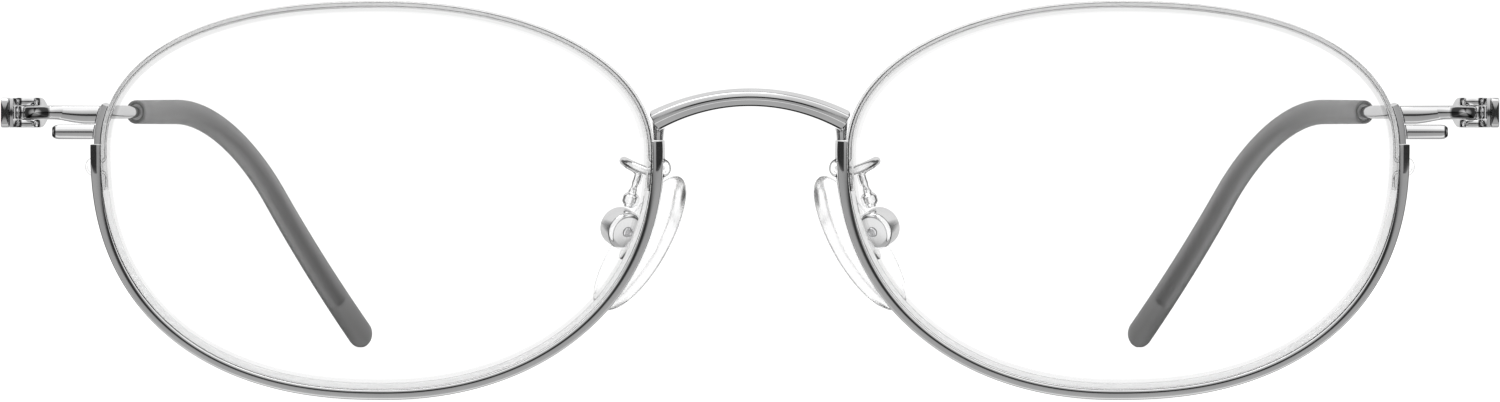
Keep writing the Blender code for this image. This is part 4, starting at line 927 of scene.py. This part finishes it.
def makeSleeve():  # from the blind end of its bore out to the mouth, and back over the outside to the tip
    count = 40
    cap = sleeve["heightTip"] / 2
    bore = temple["core"] + 3 * restGap
    throat = (temple["wireWidth"] + 4 * restGap, temple["wireHeight"] + 4 * restGap)
    start, mouthEnd = sleeve["start"], sleeve["start"] + sleeve["mouthLength"]
    inside = stations(start + temple["coreTaper"], templeLength - sleeve["solidTip"], 0.0015)
    placed = [(distance, bore, bore, 2.0) for distance in reversed(inside)]
    placed += between((inside[0], bore, bore, 2.0), (mouthEnd, *throat, 2.0), 5)
    placed.append((start + 0.0003, *throat, 2.0))
    placed.append((start + 0.0001, throat[0] + 0.0001, throat[1] + 0.0001, 2.0))
    throatEnd = len(placed)
    lip, lipLength = sleeve["lip"], sleeve["lipLength"]
    for turn in (0, 20, 40, 60, 80, 90):
        swing = math.radians(turn)
        width = sleeve["widthMouth"] + lip * math.sin(swing) - lip
        height = sleeve["heightMouth"] + lip * math.sin(swing) - lip
        placed.append((start + lipLength * (1 - math.cos(swing)), width, height, mixed(2.0, 2.2, turn / 90)))
    for distance in stations(start + lipLength, templeLength - cap, 0.0009)[1:]:
        share = (distance - start) / (templeLength - start)
        width = mixed(sleeve["widthMouth"], sleeve["widthTip"], share)
        placed.append((distance, width, mixed(sleeve["heightMouth"], sleeve["heightTip"], share), 2.2))
    for turn in (12, 24, 36, 48, 58, 67, 75, 82):
        swing = math.radians(turn)
        size = math.cos(swing)
        distance = templeLength - cap + cap * math.sin(swing)
        placed.append((distance, sleeve["widthTip"] * size, sleeve["heightTip"] * size, 2.1))
    piece = lofted("left_tip_sleeve", [templeRing(*ring, count) for ring in placed], smoke)
    along = piece.data.attributes.new("along", "FLOAT", "POINT")
    for index, ring in enumerate(placed):
        # the throat's rings get 0, which the smoke finish paints near black as painted shade inside the mouth
        shadedThroat = index < throatEnd and ring[0] < mouthEnd
        share = 0.0 if shadedThroat else max(0.03, (ring[0] - start) / (templeLength - start))
        for number in range(count):
            along.data[index * count + number].value = share
    return smooth(piece, 50)


pad = {
    "length": 0.0145, "width": 0.0078, "drop": 0.00035, "thickness": 0.0021, "lean": 32.0, "splay": 30.0,
    "boxRadius": 0.00185, "boxWidth": 0.0026, "boxCorner": 0.00045, "boxMouth": 0.0012, "stemRoom": 0.0003,
    "slotWidth": 0.00115, "screwRadius": 0.0004, "headRadius": 0.0007, "headHeight": 0.00042, "nub": 0.00024,
    "stemRadius": 0.00098, "plateLength": 0.0050, "plateWidth": 0.0028, "plateThickness": 0.00035,
    "pinFlare": 0.0005, "sideTaper": 0.12, "endDrop": 0.15,
    "backShares": (0.05, 0.35, 0.65, 0.86),  # rings of the pad's back, then its rounded side and its face
    "profile": (
        (0.90, 0.0), (0.975, 0.12), (1.0, 0.36), (0.95, 0.68), (0.80, 0.88), (0.55, 0.97), (0.25, 1.0),
        (0.04, 1.0),
    ),
}
arm = {
    "diameter": 0.0008, "aboveMiddle": 0.001682, "neck": 0.0018, "collar": 0.0007,
    "collarSizes": (0.8, 1.15, 2.0, 1.95, 1.1),
    "route": (  # behind, outward and above the arm's root on the rim
        (0.0013, 0.0000, 0.0001), (0.0021, 0.0010, 0.0004), (0.0029, 0.0025, 0.0010),
        (0.0041, 0.0034, 0.0014), (0.0054, 0.0031, 0.0011), (0.0062, 0.0021, 0.0003),
    ),
}


def findPadPlace():
    lean, splay = math.radians(pad["lean"]), math.radians(pad["splay"])
    longAxis = Vector((-math.sin(lean), 0, math.cos(lean)))
    normal = Vector((-math.cos(lean), 0, -math.sin(lean))) * math.cos(splay) + rearAxis * math.sin(splay)
    turn = Matrix((normal, longAxis.cross(normal), longAxis)).transposed().to_4x4()
    return Matrix.Translation(padSpot) @ turn


padPlace = findPadPlace()
alongPin = padPlace @ frontPlane


def makePadCup():
    radius, half, corner = pad["boxRadius"], pad["boxWidth"] / 2, pad["boxCorner"]
    profile = []
    for turn in range(0, 91, 10):
        swing = math.radians(turn)
        level = corner - half - corner * math.cos(swing)
        profile.append((radius - corner + corner * math.sin(swing), level))
    profile += [(spot, -height) for spot, height in reversed(profile)]
    cup = turned("left_pad_cup", profile, silver, alongPin, 96)
    wall = radius - pad["stemRadius"] - pad["stemRoom"]
    reach = radius + 0.002
    low = (wall - radius, -pad["slotWidth"] / 2, wall - radius)
    high = (reach, pad["slotWidth"] / 2, radius - wall)
    cup = joined(cup, block("slot", low, high, silver, padPlace), "DIFFERENCE")
    mouth = block("mouth", (pad["boxMouth"], -reach, -reach), (reach, reach, reach), silver, padPlace)
    cup = joined(cup, mouth, "DIFFERENCE")
    return smooth(bored(cup, pad["screwRadius"] + fitGap, silver, alongPin))


def makePadPin():
    shank, head = pad["screwRadius"], pad["headRadius"]
    cheek = pad["boxWidth"] / 2
    nubEnd = cheek + pad["nub"]
    flared = pad["pinFlare"]
    base = cheek + fitGap + 0.00001
    back = -base - pad["headHeight"]
    profile = [  # from the slotted head behind to the peened end in front
        (head * 0.5, back), (head * 0.9, back + 0.00004),
        (head, back + 0.00012), (head, -base - 0.00004), (head * 0.96, -base),
        (shank, -base), (shank, base), (flared, base), (flared, base + 0.00005),
        (flared * 0.9, nubEnd - 0.00005), (flared * 0.7, nubEnd), (flared * 0.45, nubEnd - 0.00001),
        (flared * 0.3, nubEnd - 0.00008),
    ]
    turn = padPlace @ Matrix.Rotation(math.radians(-90), 4, "X")
    pin = turned("left_pad_pin", profile, screwSteel, turn, 40)
    slot = head * 0.15
    low, high = (-slot, back - 0.001, -0.002), (slot, -base - pad["headHeight"] * 0.6, 0.002)
    tool = block("slot", low, high, screwSteel, padPlace)
    return smooth(joined(pin, tool, "DIFFERENCE"))


plateSeat = pad["boxMouth"] + 3 * restGap + pad["plateThickness"]


def makeStem():
    thick = pad["slotWidth"] - 2 * restGap
    radius = pad["stemRadius"]
    stem = turned("left_stem_insert", drum(radius, -thick / 2, thick / 2), insert, alongPin)
    inner = plateSeat - pad["plateThickness"]
    high = Vector((inner + pad["plateThickness"] / 2, thick * 0.47, radius * 0.95))
    neck = block("neck", (0, -high.y, -high.z), high, insert, padPlace, 0.00005)
    stem = joined(stem, neck, "UNION")
    facing = padPlace @ Matrix.Rotation(math.radians(90), 4, "Y")
    squash = Matrix.Diagonal((pad["plateLength"] / 2, pad["plateWidth"] / 2, 1, 1))
    profile = [(0.95, inner), (1, inner + 0.00006), (1, plateSeat - 0.00006), (0.95, plateSeat)]
    stem = joined(stem, turned("plate", profile, insert, facing @ squash), "UNION")
    return smooth(bored(stem, pad["screwRadius"] + fitGap, insert, alongPin))


def makeSoftPad():
    count = 96
    back = plateSeat + restGap
    thick = pad["thickness"]
    levels = [Vector((share, 0.0)) for share in pad["backShares"]]
    levels += smoothRun([Vector(spot) for spot in pad["profile"]], 34)
    rings = []
    for share, lift in levels:
        ring = []
        for index in range(count):
            angle = 2 * math.pi * index / count
            up = math.sin(angle) * share
            across = math.cos(angle) * share * (1 - pad["sideTaper"] * up)
            rise = lift * thick * (1 - pad["endDrop"] * up * up)
            ring.append(padPlace @ Vector((
                back + rise, across * pad["width"] / 2, up * pad["length"] / 2 - pad["drop"],
            )))
        rings.append(ring)
    return smooth(lofted("left_soft_pad", rings, silicone), 60)


def makeArm():
    upThePad = padPlace.to_3x3() @ upAxis
    upTheBox = (upThePad + upAxis).normalized()
    back = lens["thickness"] / 2 + rim["depth"] / 2 + restGap
    root = sweepTurn @ edgeSpot(angleAt(arm["aboveMiddle"], True), restGap + rim["width"] / 2, back)
    top = padSpot + upTheBox * (pad["boxRadius"] + restGap + arm["diameter"] / 2 * 0.3)
    anchors = [root]
    anchors += [root + rearAxis * behind + outAxis * out + upAxis * up for behind, out, up in arm["route"]]
    anchors += [top + upTheBox * arm["neck"], top + upTheBox * arm["collar"], top]
    count, coarse = 156, 26
    path = smoothRun(anchors, count)
    sizes = [1.0] * (coarse - len(arm["collarSizes"])) + list(arm["collarSizes"])
    radii = []
    for step in range(count):
        place = step * (coarse - 1) / (count - 1)
        index = min(int(place), coarse - 2)
        radii.append(mixed(sizes[index], sizes[index + 1], eased(place - index)))
    return smooth(swept("left_arm_wire", path, circle(arm["diameter"] / 2, 24), silver, radii=radii), 60)


# a row for each kind of piece: its node, its maker, the body it rides on and its slot
makers = (
    ("lens", makeLens, "front", "clear_lens"),
    ("rim", makeRim, "front", "polished_silver"),
    ("rim_liner", makeLinerStrip, "front", "white_liner"),
    ("lens_cord", makeCord, "front", "clear_nylon"),
    ("bridge_foot", makeFoot, "front", "polished_silver"),
    ("rim_lug", makeLug, "front", "polished_silver"),
    ("end_piece", makeEndBar, "front", "polished_silver"),
    ("end_trim", makeTrimBar, "front", "polished_silver"),
    ("hinge_screw", makeHingeScrew, "front", "screw_steel"),
    ("pad_arm", makeArm, "front", "polished_silver"),
    ("pad_box", makePadCup, "front", "polished_silver"),
    ("pad_screw", makePadPin, "front", "screw_steel"),
    ("temple", makeTempleWire, "temple", "polished_silver"),
    ("temple_hinge", makeLeaf, "temple", "polished_silver"),
    ("temple_tip", makeSleeve, "temple", "smoke_grey_acetate"),
    ("pad_stem", makeStem, "pad", "clear_insert"),
    ("nose_pad", makeSoftPad, "pad", "clear_silicone"),
)


def mirrored(item):
    mesh = item.data.copy()
    mesh.transform(Matrix.Scale(-1, 4, outAxis))
    mesh.flip_normals()
    return linkObject(item.name.replace("left_", "right_", 1), mesh)


def bodyOn(side, group):
    return "front" if group == "front" else side + "_" + group


bridgePiece = makeBridge()
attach(bridgePiece, "front")
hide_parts("bridge")
for kind, maker, group, slot in makers:
    left = maker()
    for side, piece in (("left", left), ("right", mirrored(left))):
        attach(piece, bodyOn(side, group))
        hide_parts(side + "_" + kind)
    print("made", kind, len(left.data.polygons), "faces")


studio = {
    "radius": 5.0, "glow": 0.9, "shade": 0.35, "backdrop": 1.11,
    "bands": (  # degrees up from the camera's side, over the top to the back; then how bright it is there
        (-180, 0.72), (-158, 0.60), (-146, 0.03), (-128, 0.04), (-118, 0.50), (-78, 0.46), (-48, 0.42),
        (-42, 0.95), (-30, 0.95), (-25, 0.46), (-5, 0.38), (-3, 0.03), (2.5, 0.03), (5, 0.50), (14, 0.75),
        (20, 1.15), (66, 1.18), (80, 0.95), (88, 0.12), (100, 0.10), (112, 0.85), (180, 0.72),
    ),
    "sides": ((0.0, 1.0), (0.74, 1.0), (0.86, 0.05), (0.97, 0.05), (1.0, 0.6)),  # by how far to the side
}


def makePaper(name, glow, shade):
    material, nodes = newFinish(name)[:2]
    shader = nodes["Principled BSDF"]
    shader.inputs["Base Color"].default_value = (shade, shade, shade, 1)
    shader.inputs["Roughness"].default_value = 1.0
    shader.inputs["Specular IOR Level"].default_value = 0.0
    shader.inputs["Emission Color"].default_value = (1, 1, 1, 1)
    shader.inputs["Emission Strength"].default_value = glow
    return material


def makeStage():
    radius, level = studio["radius"], Matrix.Identity(4)
    paper = makePaper("paleFloor", studio["glow"], studio["shade"])
    floor = turned("paleFloor", [(0.01, 0), (radius, 0)], paper, level, 96, (True, False))
    swings = [math.radians(turn) for turn in range(0, 86, 5)]
    profile = [(radius * math.cos(swing), radius * math.sin(swing)) for swing in swings]
    paper = makePaper("paleBackdrop", studio["backdrop"], 0.0)
    sky = turned("paleBackdrop", profile, paper, level, 96, (False, True))
    sky.visible_shadow = False
    for item in (floor, sky):  # polished metal shows the world's bands instead of these
        item.visible_glossy = False
        item.visible_diffuse = False


def computed(nodes, join, operation, *sources):
    node = nodes.new("ShaderNodeMath")
    node.operation = operation
    for source, socket in zip(sources, node.inputs):
        if isinstance(source, float):
            socket.default_value = source
        else:
            join(source, socket)
    return node.outputs["Value"]


def makeWorld():
    world = bpy.data.worlds.new("softStudio")
    bpy.context.scene.world = world
    world.use_nodes = True
    nodes, join = world.node_tree.nodes, world.node_tree.links.new
    where = nodes.new("ShaderNodeTexCoord")
    split = nodes.new("ShaderNodeSeparateXYZ")
    join(where.outputs["Generated"], split.inputs["Vector"])
    forward = computed(nodes, join, "MULTIPLY", split.outputs["Y"], -1.0)
    turn = computed(nodes, join, "ARCTAN2", split.outputs["Z"], forward)
    around = spread(nodes, join, turn, 0, 1, -math.pi, math.pi)
    colour = tint(nodes, join, around, [((place + 180) / 360, value) for place, value in studio["bands"]])
    flags = tint(nodes, join, computed(nodes, join, "ABSOLUTE", split.outputs["X"]), studio["sides"])
    both = nodes.new("ShaderNodeMix")
    both.data_type = "RGBA"
    both.blend_type = "MULTIPLY"
    both.inputs["Factor"].default_value = 1.0
    join(colour, both.inputs["A"])
    join(flags, both.inputs["B"])
    join(both.outputs["Result"], nodes["Background"].inputs["Color"])


softBox = {"size": (1.2, 0.8), "power": 6, "place": (-0.3, -0.5, 1.4)}


def makeLight():
    light = bpy.data.lights.new("softBox", "AREA")
    light.shape = "RECTANGLE"
    light.size, light.size_y = softBox["size"]
    light.energy = softBox["power"]
    item = linkObject("softBox", light)
    item.location = softBox["place"]
    item.rotation_euler = (-item.location).to_track_quat("-Z", "Y").to_euler()


view = {"distance": 0.566, "aboveMiddle": 0.007978, "focal": 147.1, "sensor": 36, "drop": -0.06}


def makeCamera():
    camera = bpy.data.cameras.new("frontCamera")
    camera.lens = view["focal"]
    camera.sensor_width = view["sensor"]
    camera.shift_y = view["drop"]
    camera.clip_start, camera.clip_end = 0.01, 20
    item = linkObject("frontCamera", camera)
    item.location = (0, lensMiddle.y - view["distance"], lensMiddle.z + view["aboveMiddle"])
    item.rotation_euler = (math.radians(90), 0, 0)
    bpy.context.scene.camera = item


makeStage()
makeWorld()
makeLight()
makeCamera()
bpy.context.scene.view_settings.view_transform = "Standard"
print("stage, light and camera made")
